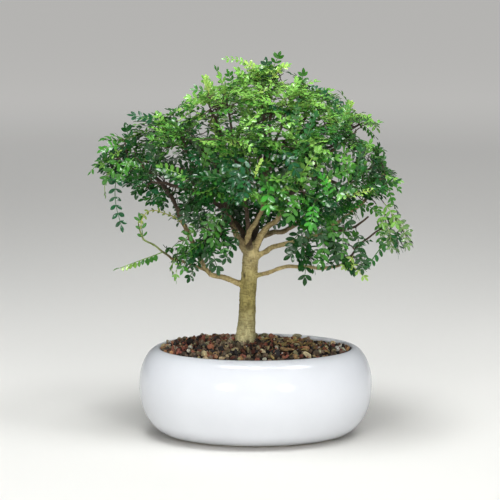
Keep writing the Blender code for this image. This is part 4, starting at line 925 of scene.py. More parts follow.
def build_grains():
    """Loose grains on the soil: crushed lava and pumice of mixed sizes, with bark splinters."""
    rng = np.random.default_rng(41)
    small, small_faces = ball(1)
    large, large_faces = ball(2)
    a, b = POT_LENGTH / 2 - SOIL_EDGE_INSET + 0.2, POT_DEPTH / 2 - SOIL_EDGE_INSET + 0.2
    placed = []
    grid = {}

    def room(x, y, r, gap):
        gx, gy = int(x // 8), int(y // 8)
        for i in range(gx - 1, gx + 2):
            for j in range(gy - 1, gy + 2):
                for px, py, pr in grid.get((i, j), ()):
                    if (px - x) ** 2 + (py - y) ** 2 < (gap * (pr + r)) ** 2:
                        return False
        return True

    def clear(x, y, r):
        # the trunk and the three bigger pieces stand clear
        if math.hypot(x + 9.6, y) < 9.4 + 0.35 * r:
            return False
        if math.hypot(x / (a + 1.4 - 0.75 * r), y / (b + 1.4 - 0.75 * r)) >= 1:
            return False
        for sx, sy, rx, ry, _ in STONES.values():
            if math.hypot((x - sx) / (rx + 0.5 * r), (y - sy) / (ry + 0.5 * r)) < 1:
                return False
        return True

    def hollow(x, y):
        # the bed is lower at the back on the right, where the wall of the pot shows above it
        return 3.2 * math.exp(-(((x - 58) / 34) ** 2 + ((y - 34) / 22) ** 2))

    def brim(x, y):
        # and is heaped against the lip at both ends
        return 1.5 * min(1.0, max(0.0, (abs(x) - 62) / 18)) * min(1.0, max(0.0, (16 - y) / 26))

    for r_low, r_high, tries, gap in ((2.5, 3.7, 380, 0.84), (1.8, 2.7, 2600, 0.86), (1.1, 1.9, 5600, 0.88)):
        for _ in range(tries):
            r = rng.uniform(r_low, r_high)
            x, y = rng.uniform(-a, a), rng.uniform(-b, b)
            if r > 2.3 and hollow(x, y) > 1.0:
                continue
            if clear(x, y, r) and room(x, y, r, gap):
                grid.setdefault((int(x // 8), int(y // 8)), []).append((x, y, r))
                placed.append((x, y, r))
    groups = [Shapes(), Shapes()]
    for index, (x, y, r) in enumerate(placed):
        shape = broken_stone(large, rng, int(rng.integers(6, 10)), 0.025)
        shape = shape * (r * rng.uniform([0.85, 0.70, 0.55], [1.5, 1.15, 0.95]))
        shape = shape @ random_turn(rng).T
        lift = rng.uniform(-0.15, 0.75) * r - 0.30 * hollow(x, y) + brim(x, y)
        shape = shape + np.array([x, y, bed_height(x, y) + lift])
        groups[index % 2].add(shape, large_faces, 0, grain_tint(rng))
    # a second, thinner scatter sits on top of the first
    for _ in range(360):
        r = rng.uniform(1.3, 2.9)
        x, y = rng.uniform(-a, a), rng.uniform(-b, b)
        if not clear(x, y, r * 1.3) or hollow(x, y) > 0.8:
            continue
        shape = broken_stone(large, rng, 8, 0.03) * (r * rng.uniform([0.8, 0.8, 0.7], [1.2, 1.1, 1.0]))
        shape = shape @ random_turn(rng).T + np.array([x, y, bed_height(x, y) + 1.2 + 0.4 * r + brim(x, y)])
        groups[0].add(shape, large_faces, 0, grain_tint(rng))
    # crumbs
    for _ in range(900):
        r = rng.uniform(0.5, 1.25)
        x, y = rng.uniform(-a, a), rng.uniform(-b, b)
        if not clear(x, y, r):
            continue
        shape = broken_stone(small, rng, 3, 0.06) * (r * rng.uniform([0.8, 0.8, 0.8], [1.3, 1.1, 1.1]))
        shape = shape @ random_turn(rng).T + np.array([x, y, bed_height(x, y) + rng.uniform(0.5, 2.8)])
        groups[1].add(shape, small_faces, 0, grain_tint(rng))
    material = grain_material("lava_grains")
    for side, group in zip(("a", "b"), groups):
        grains = group.make(f"soil_grains_{side}", [material], sharp=24.0)
        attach(grains, "root")
    # splinters of pine bark, most of them at the right and near the front
    flakes = Shapes()
    for _ in range(120):
        if rng.random() < 0.72:
            x, y = rng.normal(42, 20), rng.normal(-16, 16)
        else:
            x, y = rng.uniform(-a, a), rng.uniform(-b, b)
        r = rng.uniform(1.6, 4.0)
        if not clear(x, y, r * 1.1):
            continue
        shape = broken_stone(large, rng, 7, 0.05) * np.array([r, r * rng.uniform(0.28, 0.5), r * rng.uniform(0.18, 0.32)])
        shape = shape @ random_turn(rng, 0.35).T + np.array([x, y, bed_height(x, y) + 2.2 + 0.25 * r])
        tint = np.array([0.42, 0.30, 0.115]) * rng.uniform(0.5, 1.2) * (1 + 0.06 * rng.normal(size=3))
        flakes.add(shape, large_faces, 0, tint)
    flakes = flakes.make("bark_splinters", [grain_material("bark_splinters", 0.8)], sharp=24.0)
    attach(flakes, "root")


def build_stones():
    rng = np.random.default_rng(5)
    fine, faces = ball(4)
    looks = {
        "tan_stone": ((0.34, 0.31, 0.19), "tan_pumice", 9, 0.008),
        "green_stone": ((0.20, 0.19, 0.10), "green_stone", 8, 0.010),
        "bark_chip": ((0.40, 0.26, 0.12), "bark_chip", 10, 0.010),
    }
    for name, (tint, slot, cuts, rough) in looks.items():
        low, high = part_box(name)
        low, high = np.array(low) / MM - np.array(PLANT_SHIFT), np.array(high) / MM - np.array(PLANT_SHIFT)
        shape = broken_stone(fine, rng, cuts, rough * 0.4)
        for i, v in enumerate(shape):
            w = Vector(v)
            shape[i] = v * (1 + 0.10 * noise.noise(w * 2.3 + Vector((len(name), 0, 0))) + 0.05 * noise.noise(w * 6.0) + 0.03 * noise.noise(w * 14.0))
        if name == "bark_chip":
            for i, v in enumerate(shape):
                shape[i][2] += 0.10 * math.sin(9 * v[1] + 2 * noise.noise(Vector(v) * 3)) * 0.6
        shape = (shape - (shape.max(0) + shape.min(0)) / 2) / (shape.max(0) - shape.min(0))
        scale = {"tan_stone": 0.72, "green_stone": 0.85}.get(name, 0.95)
        shape = shape * (high - low) * scale + (high + low) / 2
        # bedded in the grains
        shape[:, 2] += low[2] - shape[:, 2].min() + (0.2 if name == "bark_chip" else -2.2)
        stone = Shapes()
        stone.add(shape, faces, 0, tint)
        obj = stone.make(f"{name}_detailed", [grain_material(f"{name}_look", 0.7)], sharp=50.0)
        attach(obj, "root")
        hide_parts(name)


# ---------------------------------------------------------------- wood

TAN = np.array([0.46, 0.365, 0.165])
OLIVE = np.array([0.35, 0.300, 0.100])
GREYGREEN = np.array([0.76, 0.70, 0.39])
CREAM_AND_LIT = np.array([0.54, 0.45, 0.215])
BROWN = np.array([0.115, 0.072, 0.042])
# darkest bark, partly painted shade for wood in the crown
DARK_BARK_AND_SHADE = np.array([0.042, 0.027, 0.015])
# how tan each limb's bark is; the low shares given to limbs that stand in shade are painted shade
LIMB_TAN_AND_LIT_SHARE = {"left_low_limb": 0.95, "right_low_limb": 1.0, "right_limb": 1.0, "left_leader": 0.42, "apex_leader": 1.0, "right_leader": 1.0, "front_left_leader": 0.15, "back_right_limb": 0.4, "left_low_shoot": 0.5}


def limb_tint(name, row, share):
    """Bark colour along a limb: tan low down near the trunk, dark brown up in the crown, partly the younger bark's
    darker brown and partly painted shade where the crown shades the limbs.
    """
    light = LIMB_TAN_AND_LIT_SHARE.get(name, 0.12)
    if name == "left_low_shoot" and share > 0.25:
        t = min(1.0, (share - 0.25) / 0.3)
        return BROWN * (1 - t) + np.array([0.250, 0.330, 0.095]) * t
    height = min(1.0, max(0.0, (row.z - 184) / 34))
    light *= 1 - 0.85 * height
    # the outer parts of the two low limbs darken under the foliage: painted shade
    if name == "right_low_limb" or name == "left_low_limb":
        light *= 1 - 0.9 * min(1.0, max(0.0, (share - 0.42) / 0.3))
    return BROWN * (1 - light) + TAN * light if light > 0.2 else DARK_BARK_AND_SHADE * (1 - light / 0.2) + BROWN * (light / 0.2)


def trunk_tint(z):
    if z < 118:
        t = max(0.0, (z - 84) / 34)
        return GREYGREEN * (1 - t) + OLIVE * t
    if z < 138:
        return OLIVE
    # towards the fork the bark turns cream: partly paler bark and partly painted light against the shade the crown
    # casts on the top of the trunk
    t = min(1.0, (z - 138) / 24)
    return OLIVE * (1 - t) + CREAM_AND_LIT * t


SLIM = {"left_leader": 1.0, "apex_leader": 1.0, "right_leader": 1.0, "front_left_leader": 1.0, "back_right_limb": 0.74, "back_limb": 0.72, "back_left_limb": 0.72, "right_limb": 0.84, "right_low_limb": 0.84}


def knotty(name, rows):
    """A limb's line made crooked and, past its foot, as slender as the real one."""
    out = []
    slim = SLIM.get(name, 0.80 if name.startswith(("crown", "upper")) else 0.88)
    for i, row in enumerate(rows):
        row = Vector(row)
        ease = min(1.0, i / 9)
        where = row.xyz * 0.085 + Vector((len(name) * 1.7, 0, 0))
        bend = Vector((noise.noise(where), noise.noise(where + Vector((0, 9, 0))), noise.noise(where + Vector((0, 0, 9)))))
        row.w *= 1 + (slim - 1) * ease
        for k in range(3):
            row[k] += bend[k] * 1.9 * ease
        out.append(row)
    return out


SKELETON = {"trunk": smooth_rows(TRUNK, 8)}
for _name, _rows in LIMBS.items():
    SKELETON[_name] = knotty(_name, smooth_rows(_rows, 8))


def thick_to(rows, radius):
    """How many rows of a limb stay over a radius."""
    for i, row in enumerate(rows):
        if row.w < radius:
            return i
    return len(rows)


def collars():
    """Swellings where a limb leaves the wood that carries it."""
    out = []
    for name, rows in LIMBS.items():
        base = Vector(rows[0][:3])
        if rows[0][3] > 2.0:
            out.append((base, rows[0][3]))
    return out


def build_wood(material):
    """Trunk and thicker limbs melted into one skin, with thinner limbs running on as tubes."""
    thick = bpy.data.meshes.new("thick_wood")
    bm = bmesh.new()

    def add(rows, sides, seed, rough):
        _, _, rings = tube_rings([r.xyz for r in rows], [r.w for r in rows], sides, rough=rough, seed=seed)
        made = [[bm.verts.new(p * MM) for p in ring] for ring in rings]
        for lower, upper in zip(made, made[1:]):
            for k in range(sides):
                bm.faces.new((lower[k], lower[(k + 1) % sides], upper[(k + 1) % sides], upper[k]))
        bm.faces.new(made[0][::-1])
        bm.faces.new(made[-1])

    trunk_rows = [Vector(r) for r in SKELETON["trunk"]]
    for row in trunk_rows:
        if 70 < row.z < 100:
            row.w += 0.7 * (1 - (row.z - 70) / 30)
    add(trunk_rows, 28, 0.0, 0.05)
    for index, (name, rows) in enumerate(SKELETON.items()):
        if name == "trunk":
            continue
        count = thick_to(rows, 1.75)
        if count >= 3:
            # a collar where it leaves its carrier
            widened = [Vector(r) for r in rows[:count]]
            for k, row in enumerate(widened[:8]):
                row.w *= 1 + (0.22 if rows[0].z < 162 else 0.05) * (1 - k / 8) ** 2
            add(widened, 14, index * 3.1, 0.06)
    for name, rows in ROOTS.items():
        add(smooth_rows(rows, 4), 10, 7.0, 0.05)
    bm.to_mesh(thick)
    bm.free()
    obj = bpy.data.objects.new("wood", thick)
    bpy.context.scene.collection.objects.link(obj)
    modifier = obj.modifiers.new("melt", "REMESH")
    modifier.mode = "VOXEL"
    modifier.voxel_size = 0.00072
    modifier = obj.modifiers.new("soften", "SMOOTH")
    modifier.factor, modifier.iterations = 0.5, 4
    apply_modifiers(obj)
    mesh = obj.data
    count = len(mesh.vertices)
    verts = np.empty(count * 3)
    mesh.vertices.foreach_get("co", verts)
    verts = verts.reshape(-1, 3) / MM
    normals = np.empty(count * 3)
    mesh.vertices.foreach_get("normal", normals)
    normals = normals.reshape(-1, 3)
    tree = KDTree(sum(len(r) for r in SKELETON.values()))
    owners = []
    for name, rows in SKELETON.items():
        for i, row in enumerate(rows):
            tree.insert(row.xyz, len(owners))
            owners.append((name, i / (len(rows) - 1), row))
    tree.balance()
    tints = np.empty((count, 3))
    for i in range(count):
        p = Vector(verts[i])
        nrm = Vector(normals[i])
        _, owner, distance = tree.find(p)
        name, share, row = owners[owner]
        if name == "trunk" or p.z < 120:
            tint = trunk_tint(p.z)
        else:
            tint = limb_tint(name, row, share)
            if distance < 12 and p.z < 178:
                blend = min(1.0, max(0.0, (p.z - 160) / 14))
                near = math.hypot(p.x + 4, p.y) < 11
                if near:
                    tint = trunk_tint(p.z) * (1 - blend) + tint * blend
        # slow swellings and upright flutes of the bark
        size = min(1.0, row.w / 7.0)
        push = 0.55 * size * noise.noise(Vector((p.x * 0.11, p.y * 0.11, p.z * 0.045)))
        push += 0.30 * size * noise.noise(Vector((p.x * 0.42, p.y * 0.42, p.z * 0.10 + 9)))
        push += 0.26 * (0.5 + size) * noise.noise(Vector((p.x * 1.3, p.y * 1.3, p.z * 0.55)))
        push += 0.16 * size * noise.noise(Vector((p.x * 0.5, p.y * 0.5, p.z * 2.4)))
        if name != "trunk":
            push += 0.55 * max(0.0, noise.noise(p * 0.22 + Vector((0, 0, 4)))) + 0.25 * noise.noise(p * 0.6)
        # ring wrinkles round the trunk under the fork
        if name == "trunk" or distance < 12:
            band = math.exp(-((p.z - 155) / 6.5) ** 2) * size
            wobble = 1.6 * noise.noise(Vector((p.x * 0.15, p.y * 0.15, 2.0)))
            push += 0.26 * band * math.sin((p.z + wobble) * 2.1)
            low = math.exp(-((p.z - 118) / 26) ** 2) * size
            push += 0.07 * low * math.sin((p.z + 2 * wobble) * 1.25)
            # the tint darkens along the creases between the rings: painted shade
            tint = tint * (1 - 0.16 * band * (0.5 + 0.5 * math.sin((p.z + wobble) * 2.1 + 2.6)))
        # pruning scars: a raised rim round a hollow
        for (sx, sy, sz), wide, tall, deep in SCARS:
            if abs(p.z - sz) > 9 or nrm.y > 0.5:
                continue
            d = math.hypot((p.x - sx) / wide, (p.z - sz) / tall)
            if d < 2.2 and p.y < 3:
                push += deep * (math.exp(-((d - 1.0) / 0.28) ** 2) * 0.7 - math.exp(-(d / 0.62) ** 2) * 0.9)
                # the hollow is darkened with painted shade and the raised rim lightened with a faint painted highlight
                tint = tint * (1 - 0.55 * math.exp(-(d / 0.7) ** 2)) * (1 + 0.15 * math.exp(-((d - 1.0) / 0.25) ** 2))
        # painted shade darkens the fork's hollow
        tint = tint * (1 - 0.78 * math.exp(-((p.x + 1.6) / 3.0) ** 2 - ((p.z - 178.0) / 4.6) ** 2))
        # root flare, spreading in lobes where the trunk meets the soil
        if 70 < p.z < 96:
            angle = math.atan2(p.y, p.x + 9.6)
            flare = (1 - (p.z - 70) / 26) ** 2
            push += flare * (0.9 + 0.8 * math.sin(3 * angle + 0.8) + 0.5 * math.sin(5 * angle))
        verts[i] = verts[i] + normals[i] * push
        stain = noise.noise(Vector((p.x * 0.30, p.y * 0.30, p.z * 0.13)) + Vector((0, 3, 0)))
        tints[i] = tint * (1 + 0.14 * noise.noise(p * 0.16) + 0.30 * min(0.0, stain + 0.10))
    mesh.vertices.foreach_set("co", ((verts + np.array(PLANT_SHIFT)) * MM).reshape(-1))
    layer = mesh.color_attributes.new("tint", "FLOAT_COLOR", "POINT")
    layer.data.foreach_set("color", np.concatenate([tints, np.ones((count, 1))], axis=1).astype(np.float32).reshape(-1))
    mesh.shade_smooth()
    mesh.materials.clear()
    mesh.materials.append(material)
    mesh.update()
    obj.name = "wood_trunk"
    mesh.name = "wood_trunk"
    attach(obj, "root")
    # thinner limbs
    thin = Shapes()
    for index, (name, rows) in enumerate(SKELETON.items()):
        start = max(0, thick_to(rows, 1.75) - 3)
        if thick_to(rows, 1.75) < 3:
            start = 0
        run = rows[start:]
        if len(run) < 2 or name == "trunk":
            continue
        path, radii, tints = [], [], []
        for i, row in enumerate(run):
            wob = 0.35 * min(1.0, i / 4)
            path.append(row.xyz + Vector((noise.noise(row.xyz * 0.11), noise.noise(row.xyz * 0.11 + Vector((5, 0, 0))), noise.noise(row.xyz * 0.11 + Vector((0, 7, 0))))) * wob)
            knot = 1 + 0.16 * max(0.0, noise.noise(row.xyz * 0.45 + Vector((index, 0, 0))))
            radii.append(max(0.55, row.w * (1.04 if i < 2 else 1.0) * knot))
        share = start / max(1, len(rows) - 1)
        sides = 9
        corner_tints = []
        n = len(path)
        for i in range(n - 1):
            c0 = limb_tint(name, run[i], share + (1 - share) * i / n)
            c1 = limb_tint(name, run[i + 1], share + (1 - share) * (i + 1) / n)
            for _ in range(sides):
                corner_tints += [c0, c0, c1, c1]
        first, last = limb_tint(name, run[0], share), limb_tint(name, run[-1], 1.0)
        for _ in range(sides):
            corner_tints += [first] * 3 + [last] * 3
        add_tube(thin, path, radii, sides, 0, corner_tints, rough=0.10, seed=index * 1.7)
    thin = thin.make("wood_limbs", [material], sharp=70.0)
    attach(thin, "root")
    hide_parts("trunk_and_branches")


# pruning scars on the front of the trunk: centre, half width, half height, depth
SCARS = [
    ((-10.6, -6.0, 146.0), 1.9, 3.2, 0.75),
    ((-4.2, -7.0, 159.5), 1.3, 1.7, 0.6),
    ((-9.0, -6.0, 118.0), 1.2, 1.4, 0.35),
    ((-5.5, -7.0, 128.0), 1.0, 1.2, 0.30),
    ((-8.4, -7.0, 100.0), 1.1, 1.5, 0.30),
]


# ---------------------------------------------------------------- leaves

# One leaflet of length 1 along x: rows of (place along, half width). A closed lens: the top and
# the underside share the rim, and each has its own midrib.
LEAFLET_ROWS = [(0.10, 0.130), (0.34, 0.262), (0.61, 0.284), (0.86, 0.165)]
LEAFLET_THICK = 0.030


def leaflet_template():
    faces, side = [], []
    rows = len(LEAFLET_ROWS)
    left = [1 + 4 * i for i in range(rows)]
    top = [2 + 4 * i for i in range(rows)]
    right = [3 + 4 * i for i in range(rows)]
    under = [4 + 4 * i for i in range(rows)]
    tip = 1 + 4 * rows
    for i in range(rows - 1):
        faces += [(top[i], top[i + 1], left[i + 1], left[i]), (right[i], right[i + 1], top[i + 1], top[i])]
        side += [0, 0]
        faces += [(left[i], left[i + 1], under[i + 1], under[i]), (under[i], under[i + 1], right[i + 1], right[i])]
        side += [1, 1]
    faces += [(0, top[0], left[0]), (0, right[0], top[0]), (top[-1], tip, left[-1]), (right[-1], tip, top[-1])]
    side += [0, 0, 0, 0]
    faces += [(left[0], under[0], 0), (under[0], right[0], 0), (left[-1], tip, under[-1]), (under[-1], tip, right[-1])]
    side += [1, 1, 1, 1]
    spot = {0: (0.0, 0.5), tip: (1.0, 0.5)}
    for i, (s, w) in enumerate(LEAFLET_ROWS):
        spot[left[i]] = (s, 1.0)
        spot[right[i]] = (s, 0.0)
        spot[top[i]] = spot[under[i]] = (s, 0.5)
    within, bake = [], []
    for face, which in zip(faces, side):
        for v in face:
            s, t = spot[v]
            within.append((s, t))
            bake.append((s, 0.5 * t * 0.92 + (0.02 if which == 0 else 0.52)))
    corner_side = [which for face, which in zip(faces, side) for _ in face]
    return faces, np.array(within, np.float32), np.array(bake, np.float32), np.array(corner_side)


LEAFLET_FACES, LEAFLET_WITHIN, LEAFLET_BAKE, LEAFLET_SIDE = leaflet_template()
LEAFLET_VERTS = 2 + 4 * len(LEAFLET_ROWS)


def leaflet_points(width, fold, curl, thick):
    """The points of one unit leaflet, with its fold along the midrib and its bend along its length."""
    points = np.zeros((LEAFLET_VERTS, 3))
    for i, (s, w) in enumerate(LEAFLET_ROWS):
        w = w * width
        bend = -curl * s * s
        points[1 + 4 * i] = (s, w, bend + fold * w)
        points[2 + 4 * i] = (s, 0.0, bend + thick * 0.5 + 0.02 * fold)
        points[3 + 4 * i] = (s, -w, bend + fold * w)
        points[4 + 4 * i] = (s, 0.0, bend - thick * 0.5)
    points[-1] = (1.0, 0.0, -curl)
    return points


def add_leaflet(shapes, origin, along, normal, length, tint, rng, mat=0, wide=1.0):
    side = unit(normal.cross(along))
    points = leaflet_points(wide * (0.95 + 0.09 * rng.normal()), abs(0.25 + 0.15 * rng.normal()), 0.10 + 0.08 * rng.normal(), LEAFLET_THICK)
    basis = np.array([along, side, unit(along.cross(side))])
    verts = points @ basis * length + np.array(origin)
    upper = np.clip(tint * (1 + 0.10 * rng.normal()), 0.003, 0.9)
    under = upper * np.array([1.35, 1.20, 1.45]) + np.array([0.012, 0.018, 0.010])
    tints = np.where(LEAFLET_SIDE[:, None] == 0, upper, under)
    cell = shapes.cells
    shapes.cells += 1
    bake = np.concatenate([np.full((len(LEAFLET_BAKE), 1), cell, np.float32), LEAFLET_BAKE], axis=1)
    shapes.add(verts, LEAFLET_FACES, mat, tints, within=LEAFLET_WITHIN, bake=bake)


class Leaf:
    """A feather leaf: the line of its midrib, and a frame at each pair of leaflets."""

    PETIOLE, SPACING, LAST = 3.6, 5.9, 2.4

    def __init__(self, base, along, normal, pairs, size, droop):
        self.size, self.pairs = size, pairs
        d, n = unit(along), unit(across(normal, unit(along)))
        p = base.copy()
        self.points, self.frames = [p.copy()], []
        steps = [self.PETIOLE] + [self.SPACING] * (pairs - 1) + [self.LAST]
        for k, step in enumerate(steps):
            step *= size
            d = unit(d + Vector((0, 0, -1)) * droop * step / 10)
            n = unit(across(n, d), n)
            p = p + d * step
            self.points.append(p.copy())
            self.frames.append((p.copy(), d.copy(), n.copy()))
        self.tip = p + d * 6.2 * size
        self.middle = self.points[len(self.points) // 2]

    def make(self, shapes, tint, rng, width=1.0):
        leaflets = 0
        pairs = self.pairs
        for k, (p, d, n) in enumerate(self.frames[:-1]):
            side = n.cross(d)
            share = k / max(1, pairs - 1)
            length = self.size * (5.0 + 1.9 * math.sin(math.pi * (0.22 + 0.55 * share))) * (1 + 0.05 * rng.normal())
            for hand in (1, -1):
                if rng.random() < 0.025:
                    continue
                forward = math.radians(53 + 7 * rng.normal() - 10 * share)
                rise = 0.16 + 0.17 * rng.normal()
                along = unit(d * math.cos(forward) + side * hand * math.sin(forward) + n * rise)
                normal = unit(n - side * hand * rise * 0.6 + Vector(rng.normal(size=3)) * 0.14)
                normal = unit(across(normal, along))
                if in_gap([p + along * 0.6 * length], 0.6)[0]:
                    continue
                add_leaflet(shapes, p + along * 0.35, along, normal, length * width, tint, rng)
                leaflets += 1
        p, d, n = self.frames[-1]
        along = unit(d + n * (0.02 + 0.10 * rng.normal()) + n.cross(d) * 0.10 * rng.normal())
        add_leaflet(shapes, p, along, unit(across(n, along)), self.size * 6.8 * width, tint, rng)
        # the winged midrib that carries them
        path = self.points
        stem = np.clip(tint * np.array([1.7, 1.35, 1.3]) + np.array([0.02, 0.02, 0.004]), 0, 0.9)
        radii = [0.42 * self.size + 0.08] + [0.50 * self.size] * (len(path) - 2) + [0.32 * self.size]
        cell = shapes.cells
        shapes.cells += 1
        add_tube(shapes, path, radii, 4, 1, stem, flat=0.55, side=self.frames[0][2].cross(self.frames[0][1]), cell=cell)
        return leaflets + 1


FACES = {
    "view": Vector((0.06, -1.0, 0.38)),
    "half": Vector((0.25, -0.75, 0.85)),
    "up": Vector((0.0, -0.24, 1.0)),
    "edge": Vector((1.0, -0.18, 0.2)),
    "hang": Vector((0.0, 0.15, 1.0)),
    "spear": Vector((0.15, -1.0, 0.30)),
}


def line_leaf(shapes, tone, face, pairs, size, points, rng):
    """A feather leaf, or a shoot with small leaflets, whose midrib follows a given line."""
    rows = [r.xyz for r in smooth_rows([(*q, 0.0) for q in points], 6)]
    walked = [0.0]
    for a, b in zip(rows, rows[1:]):
        walked.append(walked[-1] + (b - a).length)
    total = walked[-1]

    def at(share):
        want = share * total
        for i in range(len(rows) - 1):
            if walked[i + 1] >= want:
                break
        t = (want - walked[i]) / max(1e-6, walked[i + 1] - walked[i])
        return rows[i].lerp(rows[i + 1], t), unit(rows[i + 1] - rows[i])

    tint = TONES[tone] * (1 + 0.08 * rng.normal())
    toward = FACES[face] + Vector(rng.normal(size=3)) * (0.22 if face in ("view", "half") else 0.10)
    hang = face == "hang"
    wide = {"view": 0.92, "half": 0.94, "spear": 0.88}.get(face, 0.88)
    for k in range(pairs):
        share = 0.16 + 0.76 * k / max(1, pairs - 1)
        p, d = at(share)
        n = unit(across(toward, d))
        side = n.cross(d)
        length = size * (0.80 + 0.24 * math.sin(math.pi * (0.25 + 0.5 * share))) * (1 + 0.05 * rng.normal())
        own = tint
        if tone in ("young", "youngtip"):
            own = tint * (1 - 0.35 * share) + TONES["fresh"] * 0.35 * share
        if tone == "turning":
            ripe = min(1.0, max(0.0, (share - 0.45) / 0.45))
            own = TONES["mid"] * (1 - ripe) + TONES["young"] * ripe
            length *= 1.08 - 0.38 * share
        for hand in (1, -1):
            forward = math.radians((30 if face == "spear" else 58) - 8 * share + 6 * rng.normal())
            rise = (-0.9 if hang else 0.10) + 0.12 * rng.normal()
            along = unit(d * math.cos(forward) + side * hand * math.sin(forward) + n * rise)
            normal = unit(across(n - side * hand * rise * 0.6 + Vector(rng.normal(size=3)) * 0.16, along))
            add_leaflet(shapes, p + along * 0.3, along, normal, length, own, rng, wide=wide)
    p, d = at(1.0)
    n = unit(across(toward, d))
    add_leaflet(shapes, rows[-1], unit(d + n * 0.05), n, size * 1.02, tint, rng, wide=wide)
    stem = np.clip(TONES[tone] * np.array([1.7, 1.3, 1.3]) + np.array([0.02, 0.02, 0.004]), 0, 0.9)
    cell = shapes.cells
    shapes.cells += 1
    thick = 0.36 + 0.025 * size + (0.16 if len(points) > 5 else 0.0)
    radii = [thick * (1 - 0.35 * w / total) for w in walked]
    add_tube(shapes, rows, radii, 5, 1, stem, flat=0.75, cell=cell)


def tie_twig(shapes, base, along, joints, rng, colour):
    """A thin twig from the nearest wood to where a leaf starts."""
    near = min(joints, key=lambda j: (j - base).length)
    gap = (near - base).length
    if gap < 0.8:
        return
    path = hermite(near, unit(base - near) * gap * 0.8 + Vector((0, 0, 0.18 * gap)), base, unit(along) * gap * 0.8, 6)
    for k in range(1, 6):
        path[k] = path[k] + Vector(rng.normal(size=3)) * 0.02 * gap
    cell = shapes.cells
    shapes.cells += 1
    add_tube(shapes, path, [0.62 - 0.035 * k for k in range(7)], 6, 2, colour, rough=0.1, seed=gap, cell=cell)


PAD_TREES = {}
for _name in SPRAYS:
    _mesh = frame["nodes"][f"leaves_{_name}"].data
    PAD_TREES[_name] = BVHTree.FromPolygons([v.co[:] for v in _mesh.vertices], [tuple(p.vertices) for p in _mesh.polygons])
PAD_CENTRE = {name: place(row[:3]) for name, row in SPRAYS.items()}


FAR = 0.09


def pad_reach(name, direction):
    """How far the room of a spray goes from its centre along a direction, in mm, looked for from outside inwards."""
    hit = PAD_TREES[name].ray_cast(PAD_CENTRE[name] + direction * FAR, -direction, FAR)
    return (FAR - hit[3]) / MM if hit[3] is not None else 8.0


def outside(point):
    """How far a point stands out of the crown's room, in mm; negative inside it."""
    best = 99.0
    where = place(point)
    for name, (cx, cy, cz, rx, ry, rz) in SPRAYS.items():
        line = where - PAD_CENTRE[name]
        away = line.length / MM
        if away > max(rx, ry, rz) + 14:
            continue
        if away < 2:
            return -5.0
        best = min(best, away - pad_reach(name, line.normalized()))
        if best < -1:
            return best
    return best


GAP_ROWS = np.array(GAPS)


def in_gap(points, grow=0.0):
    """Which of some points would stand in a gap of the crown."""
    p = np.array([q[:] for q in points])
    share = -EYE.y / (p[:, 1] - EYE.y)
    u = EYE.x + (p[:, 0] - EYE.x) * share
    v = EYE.z + (p[:, 2] - EYE.z) * share
    away = ((u[:, None] - GAP_ROWS[:, 0]) / (GAP_ROWS[:, 2] + grow)) ** 2 + ((v[:, None] - GAP_ROWS[:, 1]) / (GAP_ROWS[:, 3] + grow)) ** 2
    inside = (away < 1).any(axis=1)
    for cu, cv, rx, rz, limit in CLEARINGS:
        shown = ((u - cu) / (rx + grow)) ** 2 + ((v - cv) / (rz + grow)) ** 2 < 1
        inside |= shown & (p[:, 1] < limit)
    return inside


CROWN_AXIS = Vector((-6.0, 4.0, 0.0))


def outward(point):
    """Away from the trunk's axis, level, in shares of the crown's half widths: the way a leaf there looks for light."""
    flat = Vector((point.x - CROWN_AXIS.x, point.y - CROWN_AXIS.y, 0))
    out = Vector((flat.x / 115, flat.y / 100, 0))
    return out


# Leaf base colours; deep is partly painted shade, for leaves inside and under the crown
TONES = {
    "deep": np.array([0.011, 0.064, 0.012]),
    "blue": np.array([0.013, 0.086, 0.030]),
    "mid": np.array([0.042, 0.180, 0.019]),
    "bright": np.array([0.048, 0.285, 0.028]),
    "fresh": np.array([0.180, 0.415, 0.072]),
    "young": np.array([0.345, 0.560, 0.115]),
    "youngtip": np.array([0.270, 0.350, 0.075]),
    "turning": np.array([0.100, 0.260, 0.040]),
    "frost": np.array([0.135, 0.245, 0.085]),
}


def shade_of(light):
    """Colour along the run from deep through mid to fresh green."""
    light = min(1.0, max(0.0, light))
    if light < 0.45:
        t = light / 0.45
        return TONES["deep"] * (1 - t) + TONES["mid"] * t
    t = (light - 0.45) / 0.55
    return TONES["mid"] * (1 - t) + TONES["fresh"] * t


def leaf_tone(point, name, rng):
    """Base colour of one leaf: deep green inside and below and fresher above, partly the fresher new growth and partly
    painted shade inside and below and painted light towards the top, in drifts; yellow-green where it is young.
    """
    high = min(1.0, max(0.0, (point.z - 215) / 115))
    edge = min(1.0, outward(point).length)
    drift = noise.noise(Vector((point.x * 0.026 + 4, point.y * 0.026, point.z * 0.045)))
    # high and edge lift the tone towards the top and the outside of the crown: painted light and shade
    light = -0.02 + 0.72 * high + 0.90 * high ** 3 + 0.10 * edge + 0.58 * drift + 0.31 * rng.normal()
    # sprays inside the crown and under its back are darkened: painted shade; three outer low sprays are made paler
    if name.startswith(("inner", "low_back")):
        light -= 0.2
    if name in ("low_right_far", "right_far", "low_left_outer"):
        light += 0.28 if name == "low_right_far" else 0.18
    tone = shade_of(light)
    if rng.random() < 0.34 - 0.22 * high:
        t = rng.uniform(0.35, 0.9)
        tone = tone * (1 - t) + TONES["blue"] * t
    if high > 0.42 and rng.random() < 0.01 + 0.26 * high ** 4 + 0.13 * max(0.0, drift) * high:
        t = rng.uniform(0.20, 0.70)
        tone = tone * (1 - t) + TONES["young"] * t
    return tone


MIDDLES = []


def crowding(point):
    """Distance to the nearest leaf that is there already."""
    if not MIDDLES:
        return 99.0
    near = np.array(MIDDLES)
    return float(np.sqrt(((near - np.array(point)) ** 2).sum(1).min()))


